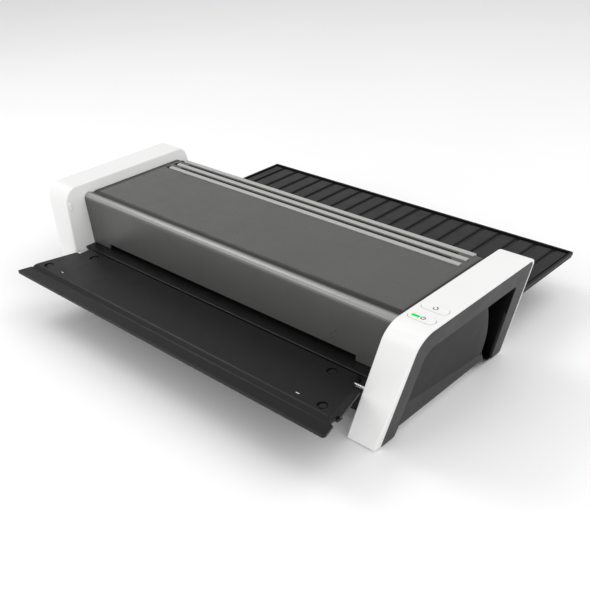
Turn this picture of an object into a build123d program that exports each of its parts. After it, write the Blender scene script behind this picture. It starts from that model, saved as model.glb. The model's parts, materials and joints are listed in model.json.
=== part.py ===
from build123d import *
import os
from math import acos, cos, hypot, pi, radians, sin, tan

os.makedirs("parts", exist_ok=True)

# A desk-top A3 pouch laminator. X is to the machine's right, Y to its rear, Z up.
# The origin is on the table, in the middle of the machine with both trays open.

# ---------------------------------------------------------------- driving dimensions, mm
toe = -135.5            # front foot of the end casings, on the table
depth = 190.0           # front foot to rear foot
casing_top = 114.0
foot_height = 1.0       # rubber pads under the feet
arch_height = 12.8      # clear height under the machine between its feet
front_lean = 0.125      # the casings' fronts lean back as they rise
rear_lean = 0.15        # and their backs lean forward
outer_half = 209.5      # half width over the casings, at the table
outer_flare = 0.32      # the ends spread outwards as they rise
inner_half = 180.8      # half width between the casings, at the table
inner_flare = 0.25
wall = 2.5              # moulded shells
sheet = 1.5             # steel plates
fit_gap = 0.6           # between the casings and what drops in between them
half_span = 220.0       # half width of raw shapes, before they are trimmed to the casings
above = 150.0           # a height clear of everything

cover_top = 105.0
path_z = 56.0           # height of the pouch path
throat_half = 166.0     # half the width of the slot
slot_low = 53.0
slot_high = 58.8

hot_y = toe + 80        # heated rollers
pull_y = toe + 140      # cold pull rollers
roller_r = 12.0
nip = 0.3               # gap between the two rollers of a pair
sleeve_half = 160.0
guide_half = 168.0      # half the width of the pouch guides
guide_gap = 2.6         # from the pouch path to the guides between the roller pairs
shaft_r = 4.0
plate_x = 171.0         # inner face of the chassis side plates
gear_x = 174.5          # inner face of the gears
gear_width = 5.0

module = 1.0
roller_teeth = 24
idler_teeth = 36
pinion_teeth = 12

tray_hinge_y = toe + 9.5
tray_hinge_z = 50.0
tray_tip = toe - 56
tray_pin_r = 1.5
lid_hinge_y = toe + 174
lid_hinge_z = 78.8
lid_pin_r = 1.75
socket_gap = 0.1        # hinge pins in their sockets
lid_tip = toe + 327
lid_low = 44.0

key_x = 225.5
key_length = 24.0
key_width = 9.0
key_travel = 0.6
key_gap = 0.4           # round each key in the casing
key_proud = 0.6
power_y = toe + 36.5
reverse_y = toe + 54.0

# ---------------------------------------------------------------- derived places
low_z = path_z - roller_r - nip / 2
high_z = path_z + roller_r + nip / 2
idler_y = (hot_y + pull_y) / 2
pinion_z = low_z + module * (idler_teeth + pinion_teeth) / 2
stretch = hypot(1, outer_flare)         # length along the flared side per mm of height
side_plane = Plane(origin=(outer_half, 0, 0), x_dir=(0, 1, 0), z_dir=(1, 0, -outer_flare))


def front_y(z):
    return toe + front_lean * z


def rear_y(z):
    return toe + depth - rear_lean * z


def inner_x(z):
    return inner_half + inner_flare * z


def outer_x(z):
    return outer_half + outer_flare * z


def on_side(y, z):
    """A side-view point in the flared side's own plane."""
    return (y, z * stretch)


def save(part, name):
    part.label = name
    export_step(part, f"parts/{name}.step")


def mirrored(part):
    with BuildPart() as other_side:
        mirror(part, about=Plane.YZ)
    return other_side.part


def prism_x(points, x0, x1):
    """A side-view outline of (Y, Z) points, carried along X."""
    with BuildPart() as prism:
        with BuildSketch(Plane.YZ.offset(x0)):
            with BuildLine():
                Polyline(*points, close=True)
            make_face()
        extrude(amount=x1 - x0)
    return prism.part


def prism_y(points, y0, y1):
    """A front-view outline of (X, Z) points, carried along Y."""
    with BuildPart() as prism:
        with BuildSketch(Plane.XZ.offset(-y0)):
            with BuildLine():
                Polyline(*points, close=True)
            make_face()
        extrude(amount=y0 - y1)
    return prism.part


def plate_y_z(x0, x1, y0, y1, z0, z1):
    return prism_x([(y0, z0), (y1, z0), (y1, z1), (y0, z1)], x0, x1)


def rod_x(y, z, radius, x0, x1):
    with BuildPart() as rod:
        with BuildSketch(Plane.YZ.offset(x0)):
            with Locations((y, z)):
                Circle(radius)
        extrude(amount=x1 - x0)
    return rod.part


def between_casings(gap):
    """The flared space between the two end casings, short of them by a gap."""
    span = [(-inner_x(0) + gap, 0), (inner_x(0) - gap, 0),
            (inner_x(above) - gap, above), (-inner_x(above) + gap, above)]
    return prism_y(span, toe - 100, toe + 400)


# ---------------------------------------------------------------- side outlines
corner_front = 18.0
corner_rear = 10.0
rim = 2.0                # white edge that shows round the dark side cover
return_low = 9.0         # the white front wraps round the side, more at its foot
return_high = 3.0
heel_y = toe + 172       # front of the rear foot
toe_back_y = toe + 26    # back of the front foot


def side_cover_outline(gap):
    top = casing_top - rim - gap
    return [
        (front_y(foot_height) + return_low + gap, foot_height),
        (front_y(top) + return_high + gap, top),
        (rear_y(top) - rim - gap, top),
        (rear_y(foot_height) - rim - gap, foot_height),
        (heel_y + gap, foot_height),
        (heel_y - 2 + gap, arch_height),
        (toe_back_y + 2 - gap, arch_height),
        (toe_back_y - gap, foot_height),
    ]


grip_low = 4.5           # the grip's liner reaches down in front of the rear foot
grip_outline = [
    (toe + 113, 96.5), (toe + 150, 94.5), (toe + 169.8, grip_low + 1.5), (toe + 168, grip_low),
    (toe + 160, grip_low), (toe + 151.5, 10.5), (toe + 147, 18), (toe + 146.5, 42), (toe + 131, 69),
]
grip_depth = 20.0
grip_wall = 1.5
cover_thick = 2.5


def side_sketch(points, plane, radius_front, radius_rear):
    with BuildSketch(plane) as outline:
        with BuildLine():
            Polyline(*[on_side(y, z) for y, z in points], close=True)
        make_face()
        fillet(outline.vertices().group_by(Axis.Y)[-1].sort_by(Axis.X)[0], radius_front)
        fillet(outline.vertices().group_by(Axis.Y)[-1].sort_by(Axis.X)[-1], radius_rear)
    return outline.sketch


def grip_solid(grow, deep):
    """The hand grip's space behind the flared side, open outwards."""
    with BuildPart() as space:
        with BuildSketch(side_plane):
            with BuildLine():
                Polyline(*[on_side(y, z) for y, z in grip_outline], close=True)
            make_face()
            offset(amount=grow, kind=Kind.INTERSECTION)
        extrude(amount=-deep)
    return space.part


# ---------------------------------------------------------------- white end casings
cavity = prism_x([
    (front_y(arch_height) + return_low, arch_height + 2),
    (front_y(casing_top) + return_high, casing_top - rim),
    (rear_y(casing_top) - rim, casing_top - rim),
    (rear_y(arch_height) - rim, arch_height + 2),
], inner_half - 20, outer_half + 60)
cavity_span = prism_y([
    (inner_x(0) + wall, 0), (outer_x(0) + 20, 0),
    (outer_x(above) + 20, above), (inner_x(above) + wall, above),
], toe - 10, toe + 210)
casing_span = prism_y([
    (inner_x(0), 0), (outer_x(0), 0), (outer_x(above), above), (inner_x(above), above),
], toe - 10, toe + 210)
cover_rebate = side_sketch(side_cover_outline(0), side_plane, corner_front - 2, corner_rear - rim)
grip_envelope = grip_solid(grip_wall + 0.4, grip_depth + grip_wall + 0.4)

with BuildPart() as casing_hollow:
    add(cavity)
    add(cavity_span, mode=Mode.INTERSECT)
    fillet(casing_hollow.edges().filter_by(Axis.X).group_by(Axis.Z)[-1], 8)

with BuildPart() as end_casing:
    with BuildSketch(Plane.YZ.offset(inner_half - 10)) as side_view:
        with BuildLine():
            Polyline(
                (front_y(foot_height), foot_height), (front_y(casing_top), casing_top),
                (rear_y(casing_top), casing_top), (rear_y(foot_height), foot_height),
                (heel_y, foot_height), (heel_y - 2, arch_height),
                (toe_back_y + 2, arch_height), (toe_back_y, foot_height), close=True)
        make_face()
        fillet(side_view.vertices().group_by(Axis.Y)[-1].sort_by(Axis.X)[0], corner_front)
        fillet(side_view.vertices().group_by(Axis.Y)[-1].sort_by(Axis.X)[-1], corner_rear)
    extrude(amount=100)
    add(casing_span, mode=Mode.INTERSECT)
    add(casing_hollow.part, mode=Mode.SUBTRACT)
    extrude(cover_rebate, amount=-(cover_thick + 0.4), mode=Mode.SUBTRACT)
    add(grip_envelope, mode=Mode.SUBTRACT)
    # window through the inner wall, hidden by the top cover, for the drive
    with BuildSketch(Plane.YZ.offset(inner_half - 10)):
        with Locations((toe + 100, 58)):
            RectangleRounded(118, 78, 6)
    extrude(amount=inner_flare * 100 + wall + 11, mode=Mode.SUBTRACT)
    # sockets for the hinge pins of the two trays
    with BuildSketch(Plane.YZ.offset(inner_half)):
        with Locations((tray_hinge_y, tray_hinge_z)):
            Circle(tray_pin_r + socket_gap)
    extrude(amount=17, mode=Mode.SUBTRACT)
    with BuildSketch(Plane.YZ.offset(inner_half)):
        with Locations((lid_hinge_y, lid_hinge_z)):
            Circle(lid_pin_r + socket_gap)
    extrude(amount=23, mode=Mode.SUBTRACT)

# small tab on each inner wall that holds the front tray shut
tab_reach = 46.0         # from the tray's hinge
tab_proud = 1.2
tab_z = tray_hinge_z + tab_reach
with BuildPart() as catch_tab:
    with BuildSketch(Plane.YZ.offset(inner_x(tab_z) - tab_proud)):
        with Locations((toe + 16.5, tab_z)):
            Rectangle(2.2, 7)
    extrude(amount=tab_proud + 1.8)

with BuildPart() as left_casing:
    mirror(end_casing.part, about=Plane.YZ)
    mirror(catch_tab.part, about=Plane.YZ)
save(left_casing.part, "left_casing")

board_z = 101.0
with BuildPart() as right_casing:
    add(end_casing.part)
    add(catch_tab.part)
    # pillars that carry the control board
    with BuildSketch(Plane.XY.offset(board_z)):
        with Locations((214, toe + 27), (214, toe + 68), (232, toe + 68)):
            Circle(2.5)
    extrude(amount=casing_top - board_z - 1)
    with BuildSketch(Plane.XY.offset(board_z)):
        with Locations((key_x, power_y), (key_x, reverse_y)):
            SlotOverall(key_length + 2 * key_gap, key_width + 2 * key_gap)
    extrude(amount=20, mode=Mode.SUBTRACT)
save(right_casing.part, "right_casing")

# ---------------------------------------------------------------- dark side covers and hand grips
recess_front = 11.0
recess_deep = 4.0


def recess_points(top, low, grow):
    return [
        (front_y(low) + return_low + recess_front - grow, low),
        (front_y(top) + return_high + recess_front + 1 - grow, top),
        (toe + 127.0, top),
        (toe + 152.0, low),
    ]


def recess_sketch(points, deep):
    with BuildSketch(side_plane.offset(-deep)) as outline:
        with BuildLine():
            Polyline(*[on_side(y, z) for y, z in points], close=True)
        make_face()
        fillet(outline.vertices().group_by(Axis.Y)[-1].sort_by(Axis.X)[0], 9)
    return outline.sketch


plate_outline = side_sketch(side_cover_outline(0.3), side_plane, corner_front - 2.3, corner_rear - rim - 0.3)
recess_mouth = recess_sketch(recess_points(96.5, arch_height + 3, 0), 0)
recess_floor = recess_sketch(recess_points(93.5, arch_height + 20, -3), recess_deep)
backing_mouth = recess_sketch(recess_points(97.5, arch_height + 2.5, 1.5), cover_thick)
backing_floor = recess_sketch(recess_points(95, arch_height + 19, -1.5), recess_deep + 2)

with BuildPart() as right_side_cover:
    extrude(plate_outline, amount=-cover_thick)
    loft([backing_mouth, backing_floor])
    loft([recess_mouth, recess_floor], mode=Mode.SUBTRACT)
    add(grip_solid(grip_wall + 0.3, 40), mode=Mode.SUBTRACT)
save(right_side_cover.part, "right_side_cover")
save(mirrored(right_side_cover.part), "left_side_cover")

with BuildPart() as right_grip_liner:
    add(grip_solid(grip_wall, grip_depth + grip_wall))
    add(grip_solid(0, grip_depth), mode=Mode.SUBTRACT)
save(right_grip_liner.part, "right_grip_liner")
save(mirrored(right_grip_liner.part), "left_grip_liner")

# ---------------------------------------------------------------- top cover and vent bars
cover_front = toe + 31.0
cover_rear = toe + 166.5
bar_pitch = 11.3
bar_y = toe + 152.0
bar_width = 5.4
bar_length = 381.0
bar_x = 1.0             # they sit a little to the right of the middle
bar_rise = 1.3
vent_length = 357.0
groove_r = 2.6
core = between_casings(fit_gap)

with BuildPart() as top_cover:
    with BuildSketch(Plane.YZ.offset(-half_span)) as outside:
        with BuildLine():
            Polyline((cover_front, slot_low + 0.4), (cover_front + 4.2, cover_top), (cover_rear, cover_top),
                     (cover_rear, slot_high), (cover_rear - 1, slot_low + 0.4), close=True)
        make_face()
        fillet(outside.vertices().group_by(Axis.Y)[-1].sort_by(Axis.X)[0], 7)
        fillet(outside.vertices().group_by(Axis.Y)[-1].sort_by(Axis.X)[-1], 4)
    extrude(amount=2 * half_span)
    with BuildSketch(Plane.YZ.offset(-half_span)) as inside:
        with BuildLine():
            Polyline((cover_front + wall, 40), (cover_front + 4 + wall, cover_top - wall),
                     (cover_rear - wall, cover_top - wall), (cover_rear - wall, 40), close=True)
        make_face()
        fillet(inside.vertices().group_by(Axis.Y)[-1].sort_by(Axis.X)[0], 4.5)
    extrude(amount=2 * half_span, mode=Mode.SUBTRACT)
    # shallow groove behind the rounded front edge
    with BuildSketch(Plane.YZ.offset(-half_span)):
        with Locations((cover_front + 14, cover_top + groove_r - 1.2)):
            Circle(groove_r)
    extrude(amount=2 * half_span, mode=Mode.SUBTRACT)
    # entry mouth, and the exit slot below the rear wall
    with BuildSketch(Plane.XY.offset(40)):
        with Locations((0, toe + 30)):
            Rectangle(2 * throat_half, 30)
    extrude(amount=slot_high - 40, mode=Mode.SUBTRACT)
    with BuildSketch(Plane.XY.offset(40)):
        with Locations((0, cover_rear)):
            Rectangle(500, 12)
    extrude(amount=slot_high - 40 + 1, mode=Mode.SUBTRACT)
    # vent slots between the bars, and a notch at the left end of each bar
    with BuildSketch(Plane.XY.offset(cover_top - 10)):
        with Locations((0, bar_y - bar_pitch / 2), (0, bar_y + bar_pitch / 2)):
            SlotOverall(vent_length, bar_pitch - bar_width)
    extrude(amount=20, mode=Mode.SUBTRACT)
    with BuildSketch(Plane.XY.offset(cover_top)):
        with Locations((bar_x - bar_length / 2 - 2, bar_y)):
            with GridLocations(1, bar_pitch, 1, 3):
                Rectangle(4.4, 4.4)
    extrude(amount=-1.4, mode=Mode.SUBTRACT)
    add(core, mode=Mode.INTERSECT)
save(top_cover.part, "top_cover")

for i, name in enumerate(["vent_bar_front", "vent_bar_middle", "vent_bar_rear"]):
    with BuildPart() as vent_bar:
        with BuildSketch(Plane.XY.offset(cover_top)):
            with Locations((bar_x, bar_y + (i - 1) * bar_pitch)):
                SlotOverall(bar_length, bar_width)
        extrude(amount=bar_rise)
        fillet(vent_bar.faces().sort_by(Axis.Z)[-1].edges(), 1.0)
    save(vent_bar.part, name)

# ---------------------------------------------------------------- base housing, feet, screws
base_front = toe + 21.0
base_rear = toe + 166.0
base_top = 49.5
inlet_x = -150.0        # moulded mains socket, at the left of the rear wall
inlet_z = 28.0
inlet_proud = 3.0
inlet_deep = 12.5
base_hollow = plate_y_z(-half_span, half_span, base_front + wall, base_rear - wall, arch_height + wall, 80)
base_inside = between_casings(fit_gap + wall)
with BuildPart() as base_room:
    add(base_hollow)
    add(base_inside, mode=Mode.INTERSECT)

with BuildPart() as base_housing:
    add(plate_y_z(-half_span, half_span, base_front, base_rear, arch_height, base_top))
    add(core, mode=Mode.INTERSECT)
    add(base_room.part, mode=Mode.SUBTRACT)
    # openings in the ends for the drive and the wiring
    with BuildSketch(Plane.YZ.offset(-half_span)):
        with Locations((toe + 100, 40)):
            Rectangle(116, 40)
    extrude(amount=2 * half_span, mode=Mode.SUBTRACT)
    # mains inlet opening
    with BuildSketch(Plane.XZ.offset(-(base_rear - 10))):
        with Locations((inlet_x, inlet_z)):
            Rectangle(27.6, 20.2)
    extrude(amount=-20, mode=Mode.SUBTRACT)
    # cooling slots in the floor
    with BuildSketch(Plane.XY.offset(0)):
        with GridLocations(24, 60, 12, 1):
            with Locations((0, toe + 100)):
                SlotOverall(60, 4, rotation=90)
    extrude(amount=30, mode=Mode.SUBTRACT)
save(base_housing.part, "base_housing")

foot_places = [
    (sx * x, y)
    for sx in (-1, 1)
    for x, y in ((inner_half + 13.5, toe + 14), (inner_half + 13.5, toe + 181))
]
with BuildPart() as rubber_feet:
    with BuildSketch(Plane.XY):
        with Locations(*foot_places):
            Rectangle(20, 14)
    extrude(amount=foot_height)
    chamfer(rubber_feet.faces().sort_by(Axis.Z)[0:4].edges(), 0.4)
save(rubber_feet.part, "rubber_feet")

# ---------------------------------------------------------------- guides
with BuildPart() as entry_deck:
    add(plate_y_z(-half_span, half_span, toe + 19.5, toe + 36, 50, slot_low))
    add(core, mode=Mode.INTERSECT)
    with BuildSketch(Plane.YZ.offset(-guide_half)):
        with BuildLine():
            Polyline((toe + 30, 50), (toe + 64, 51.6), (toe + 64, 54), (toe + 30, slot_low), close=True)
        make_face()
    extrude(amount=2 * guide_half)
    fillet(entry_deck.edges().filter_by(Axis.X).group_by(Axis.Y)[0], 1.2)
save(entry_deck.part, "entry_deck")

upper_entry = prism_x([(toe + 35.5, 60.4), (toe + 64, 58.8), (toe + 64, 60.4), (toe + 35.5, 62)],
                      -guide_half, guide_half)
save(upper_entry, "entry_guide_upper")
center_front = hot_y + 15
center_rear = pull_y - 14
exit_start = pull_y + 14
center_low = plate_y_z(-guide_half, guide_half, center_front, center_rear,
                       path_z - guide_gap - sheet, path_z - guide_gap)
save(center_low, "center_guide_lower")
center_high = plate_y_z(-guide_half, guide_half, center_front, center_rear,
                        path_z + guide_gap, path_z + guide_gap + sheet)
save(center_high, "center_guide_upper")
exit_low = prism_x([(exit_start, 51.5), (base_rear + 3, 50), (base_rear + 3, 51.8), (exit_start, 53.3)],
                   -throat_half, throat_half)
save(exit_low, "exit_guide_lower")
exit_high = prism_x([(exit_start, 58.7), (base_rear - 3.5, 60), (base_rear - 3.5, 61.6), (exit_start, 60.3)],
                    -throat_half, throat_half)
save(exit_high, "exit_guide_upper")

# ---------------------------------------------------------------- chassis
bush_r = 7.0
bush_long = 3.5
rod_r = 4.0
bush_places = [(hot_y, low_z), (hot_y, high_z), (pull_y, low_z), (pull_y, high_z)]
tie_places = [(toe + 48, 92), (toe + 158, 92), (toe + 110, 22), (toe + 48, 26)]
chassis_outline = [(toe + 40, arch_height + wall), (toe + 160, arch_height + wall),
                   (toe + 161, 97), (toe + 42, 99)]


def chassis_plate(side):
    """A steel side plate whose outer face is away from the middle."""
    x0 = plate_x if side > 0 else -plate_x - sheet
    with BuildPart() as plate:
        with BuildSketch(Plane.YZ.offset(x0)) as outline:
            with BuildLine():
                Polyline(*chassis_outline, close=True)
            make_face()
            fillet(outline.vertices(), 5)
            with Locations(*bush_places):
                Circle(bush_r, mode=Mode.SUBTRACT)
            with Locations((hot_y, path_z), (pull_y, path_z)):
                Rectangle(3, 6, mode=Mode.SUBTRACT)
        extrude(amount=sheet)
        # turned-in foot that screws to the base
        with BuildSketch(Plane.XY.offset(arch_height + wall)):
            with Locations((x0 + sheet / 2 - 6 * side, toe + 100)):
                Rectangle(13.5, 100)
        extrude(amount=sheet)
    return plate.part


save(chassis_plate(1), "right_chassis_plate")
save(chassis_plate(-1), "left_chassis_plate")

with BuildPart() as tie_rods:
    with BuildSketch(Plane.YZ.offset(-plate_x)):
        with Locations(*tie_places):
            Circle(rod_r)
    extrude(amount=2 * plate_x)
save(tie_rods.part, "tie_rods")

with BuildPart() as roller_bushes:
    for x in (1.0 - plate_x - bush_long, plate_x - 1.0):
        with BuildSketch(Plane.YZ.offset(x)):
            with Locations(*bush_places):
                Circle(bush_r)
                Circle(shaft_r + 0.05, mode=Mode.SUBTRACT)
        extrude(amount=bush_long)
save(roller_bushes.part, "roller_bushes")


def coil(y, z, x, radius, wire, height, turns):
    """A compression spring that stands on its base point."""
    with BuildPart() as spring:
        with BuildLine():
            Helix(pitch=height / turns, height=height, radius=radius, center=(x, y, z))
        with BuildSketch(Plane(origin=(x + radius, y, z), z_dir=(0, 1, 0))):
            Circle(wire / 2)
        sweep()
    return spring.part


spring_low = high_z + bush_r + 1.8
spring_height = 9.0
seat_thick = 1.2
with BuildPart() as nip_springs:
    for x in (-plate_x + 5, plate_x - 5):
        for y in (hot_y, pull_y):
            add(coil(y, spring_low, x, radius=3.0, wire=0.9, height=spring_height, turns=5))
save(nip_springs.part, "nip_springs")

with BuildPart() as spring_seats:
    for x in (-plate_x, plate_x - 9):
        for z in (spring_low - seat_thick - 0.55, spring_low + spring_height + 0.55):
            with BuildSketch(Plane.XY.offset(z)):
                with Locations((x + 4.5, hot_y), (x + 4.5, pull_y)):
                    Rectangle(9, 10)
            extrude(amount=seat_thick)
save(spring_seats.part, "spring_seats")

# ---------------------------------------------------------------- rollers and their gears
for name, y, z in (("lower_hot", hot_y, low_z), ("upper_hot", hot_y, high_z),
                   ("lower_pull", pull_y, low_z), ("upper_pull", pull_y, high_z)):
    with BuildPart() as sleeve:
        with BuildSketch(Plane.YZ.offset(-sleeve_half)):
            with Locations((y, z)):
                Circle(roller_r)
                Circle(shaft_r, mode=Mode.SUBTRACT)
        extrude(amount=2 * sleeve_half)
        chamfer(sleeve.edges().filter_by(GeomType.CIRCLE).sort_by(SortBy.RADIUS)[-2:], 0.8)
    save(sleeve.part, f"{name}_roller")
    save(rod_x(y, z, shaft_r, -plate_x - bush_long - 0.5, gear_x + gear_width + 1), f"{name}_shaft")

pressure_angle = radians(20)
addendum = 0.9 * module
dedendum = 1.25 * module
tooth_share = 0.455      # of the circular pitch, the rest being the gap


def involute(angle):
    return tan(angle) - angle


def flank(teeth, radius):
    """Half the tooth's angle at a radius."""
    pitch_r = module * teeth / 2
    base_r = pitch_r * cos(pressure_angle)
    lean = acos(min(1.0, base_r / max(radius, base_r)))
    return tooth_share * pi / teeth + involute(pressure_angle) - involute(lean)


def gear(teeth, y, z, tooth_at, bore):
    """A spur gear on an X axis, with one tooth pointing at the given angle from +Y."""
    pitch_r = module * teeth / 2
    base_r = pitch_r * cos(pressure_angle)
    root_r = pitch_r - dedendum
    rise = [max(root_r, base_r) + (pitch_r + addendum - max(root_r, base_r)) * k / 4 for k in range(5)]
    half_tooth = [(root_r, flank(teeth, root_r))] + [(r, flank(teeth, r)) for r in rise]
    points = []
    for tooth in range(teeth):
        middle = radians(tooth_at) + 2 * pi * tooth / teeth
        sides = [(r, middle - a) for r, a in half_tooth] + [(r, middle + a) for r, a in reversed(half_tooth)]
        points += [(y + r * cos(t), z + r * sin(t)) for r, t in sides]
    with BuildPart() as wheel:
        with BuildSketch(Plane.YZ.offset(gear_x)):
            with BuildLine():
                Polyline(*points, close=True)
            make_face()
            with Locations((y, z)):
                Circle(bore, mode=Mode.SUBTRACT)
        extrude(amount=gear_width)
    return wheel.part


half_pitch = 180 / roller_teeth
post_r = 3.0
pinion_bore = 2.0
save(gear(roller_teeth, hot_y, low_z, 90, shaft_r), "lower_hot_gear")
save(gear(roller_teeth, hot_y, high_z, 270 + half_pitch, shaft_r), "upper_hot_gear")
save(gear(roller_teeth, pull_y, low_z, 90, shaft_r), "lower_pull_gear")
save(gear(roller_teeth, pull_y, high_z, 270 + half_pitch, shaft_r), "upper_pull_gear")
save(gear(idler_teeth, idler_y, low_z, 180 + 180 / idler_teeth, post_r + 0.05), "idler_gear")
save(gear(pinion_teeth, idler_y, pinion_z, 270, pinion_bore), "motor_pinion")

with BuildPart() as idler_post:
    with BuildSketch(Plane.YZ.offset(plate_x + sheet)):
        with Locations((idler_y, low_z)):
            Circle(post_r)
    extrude(amount=gear_width + 4)
    # collar that keeps the gear on its post
    with BuildSketch(Plane.YZ.offset(gear_x + gear_width + 0.4)):
        with Locations((idler_y, low_z)):
            Circle(post_r + 2)
    extrude(amount=1.0)
save(idler_post.part, "idler_post")

# ---------------------------------------------------------------- motor
motor_x = gear_x + gear_width + 5
motor_r = 21.0
with BuildPart() as motor_bracket:
    with BuildSketch(Plane.YZ.offset(motor_x - sheet)) as bracket_outline:
        with Locations((idler_y, pinion_z)):
            Rectangle(62, 40)
            Circle(4.2, mode=Mode.SUBTRACT)
    extrude(amount=sheet)
    # two spacers down to the chassis plate
    with BuildSketch(Plane.YZ.offset(plate_x + sheet)):
        with Locations((idler_y - 27, pinion_z + 16), (idler_y + 27, pinion_z + 16)):
            Circle(2.5)
    extrude(amount=motor_x - 2 * sheet - plate_x)
save(motor_bracket.part, "motor_bracket")

with BuildPart() as motor:
    with BuildSketch(Plane.YZ.offset(motor_x)):
        with Locations((idler_y, pinion_z)):
            Circle(motor_r)
    extrude(amount=15)
    fillet(motor.edges().filter_by(GeomType.CIRCLE).sort_by(Axis.X)[-1], 2)
    with BuildSketch(Plane.YZ.offset(motor_x - sheet)):
        with Locations((idler_y, pinion_z)):
            Circle(4.0)
    extrude(amount=sheet)
save(motor.part, "motor")

with BuildPart() as motor_shaft:
    with BuildSketch(Plane.YZ.offset(gear_x)):
        with Locations((idler_y, pinion_z)):
            Circle(pinion_bore)
    extrude(amount=motor_x - sheet - gear_x - 0.2)
save(motor_shaft.part, "motor_shaft")

# ---------------------------------------------------------------- heaters
shroud_gap = 2.0
shroud_thick = 2.0
shroud_half = 158.0
strip_half = 150.0
strip_thick = 1.6


def shroud(z, side):
    """A half-round trough over the far side of a heated roller, with a flat back."""
    with BuildPart() as trough:
        with BuildSketch(Plane.YZ.offset(-shroud_half)):
            with Locations((hot_y, z)):
                Circle(roller_r + shroud_gap + shroud_thick)
                with Locations((0, side * (roller_r + shroud_gap + 0.5))):
                    Rectangle(22, 5)
                Circle(roller_r + shroud_gap, mode=Mode.SUBTRACT)
                with Locations((0, -side * 18)):
                    Rectangle(60, 36, mode=Mode.SUBTRACT)
        extrude(amount=2 * shroud_half)
    return trough.part


save(shroud(high_z, 1), "upper_heater_shroud")
save(shroud(low_z, -1), "lower_heater_shroud")
heater_back = roller_r + shroud_gap + 3.0
for name, z0 in (("upper_heating_element", high_z + heater_back),
                 ("lower_heating_element", low_z - heater_back - strip_thick)):
    save(plate_y_z(-strip_half, strip_half, hot_y - 9, hot_y + 9, z0, z0 + strip_thick), name)

thermostat_x = 60.0
thermostat_z = high_z + heater_back + strip_thick
with BuildPart() as thermostat:
    with BuildSketch(Plane.XY.offset(thermostat_z)):
        with Locations((thermostat_x, hot_y)):
            Circle(7.5)
    extrude(amount=4)
    # its two tabs
    with BuildSketch(Plane.XY.offset(thermostat_z + 4)):
        with Locations((thermostat_x - 6, hot_y), (thermostat_x + 6, hot_y)):
            Rectangle(3, 6)
    extrude(amount=3)
save(thermostat.part, "thermostat")

# ---------------------------------------------------------------- electrics
board_thick = 1.6
base_floor = arch_height + wall
standoff = 5.0
power_board_x = -125.0
power_board_y = toe + 132
with BuildPart() as power_board:
    with BuildSketch(Plane.XY.offset(base_floor + standoff)):
        with Locations((power_board_x, power_board_y)):
            Rectangle(70, 26)
    extrude(amount=board_thick)
    with BuildSketch(Plane.XY.offset(base_floor)):
        with Locations((power_board_x, power_board_y)):
            with GridLocations(62, 18, 2, 2):
                Circle(2)
    extrude(amount=standoff)
    # transformer and capacitor
    with BuildSketch(Plane.XY.offset(base_floor + standoff + board_thick)):
        with Locations((power_board_x + 13, power_board_y)):
            Rectangle(18, 15)
        with Locations((power_board_x - 13, power_board_y)):
            Circle(4.5)
    extrude(amount=6)
save(power_board.part, "power_board")

with BuildPart() as control_board:
    with BuildSketch(Plane.XY.offset(board_z - board_thick)):
        with Locations((223, toe + 46)):
            Rectangle(25, 50)
    extrude(amount=board_thick)
save(control_board.part, "control_board")

switch_height = 3.5
plunger_height = 1.0
with BuildPart() as key_switches:
    with BuildSketch(Plane.XY.offset(board_z)):
        with Locations((key_x, power_y), (key_x, reverse_y)):
            Rectangle(6, 6)
    extrude(amount=switch_height)
    with BuildSketch(Plane.XY.offset(board_z + switch_height)):
        with Locations((key_x, power_y), (key_x, reverse_y)):
            Circle(1.7)
    extrude(amount=plunger_height)
save(key_switches.part, "key_switches")

key_skirt = casing_top - rim - 2.0          # the skirt that keeps a key in its hole
key_face = casing_top + key_proud
key_foot = board_z + switch_height + plunger_height + key_travel + 0.3


def key(y):
    with BuildPart() as cap:
        with BuildSketch(Plane.XY.offset(key_skirt)):
            with Locations((key_x, y)):
                SlotOverall(key_length, key_width)
        extrude(amount=key_face - key_skirt)
        fillet(cap.faces().sort_by(Axis.Z)[-1].edges(), 0.5)
        with BuildSketch(Plane.XY.offset(key_skirt)):
            with Locations((key_x, y)):
                SlotOverall(key_length + 2, key_width + 2)
        extrude(amount=1.2)
        with BuildSketch(Plane.XY.offset(key_foot)):
            with Locations((key_x, y)):
                Circle(2.2)
        extrude(amount=key_skirt - key_foot)
    return cap.part


light_x = key_x - 5.5
light_length = 7.6
light_width = 3.0
power_cap = key(power_y)
with BuildPart() as power_key:
    add(power_cap)
    with BuildSketch(Plane.XY.offset(key_skirt - 0.1)):
        with Locations((light_x, power_y)):
            SlotOverall(light_length, light_width)
    extrude(amount=10, mode=Mode.SUBTRACT)
save(power_key.part, "power_key")
save(key(reverse_y), "reverse_key")

with BuildPart() as power_light:
    with BuildSketch(Plane.XY.offset(key_skirt)):
        with Locations((light_x, power_y)):
            SlotOverall(light_length, light_width)
    extrude(amount=key_face - key_skirt)
save(power_light.part, "power_light")

with BuildPart() as mains_inlet:
    with BuildSketch(Plane.XZ.offset(-base_rear)):
        with Locations((inlet_x, inlet_z)):
            RectangleRounded(31, 23.6, 2)
    extrude(amount=-inlet_proud)
    with BuildSketch(Plane.XZ.offset(-base_rear)):
        with Locations((inlet_x, inlet_z)):
            Rectangle(27, 19.6)
    extrude(amount=inlet_deep)
    with BuildSketch(Plane.XZ.offset(-(base_rear + inlet_proud))):
        with Locations((inlet_x, inlet_z)):
            RectangleRounded(23.5, 15.5, 3)
    extrude(amount=inlet_deep + inlet_proud - 1.5, mode=Mode.SUBTRACT)
save(mains_inlet.part, "mains_inlet")

with BuildPart() as inlet_pins:
    with BuildSketch(Plane.XZ.offset(-(base_rear - inlet_deep + 1.5))):
        with Locations((inlet_x - 7, inlet_z - 1), (inlet_x, inlet_z + 3), (inlet_x + 7, inlet_z - 1)):
            Rectangle(2, 4)
    extrude(amount=-12)
save(inlet_pins.part, "inlet_pins")

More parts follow.
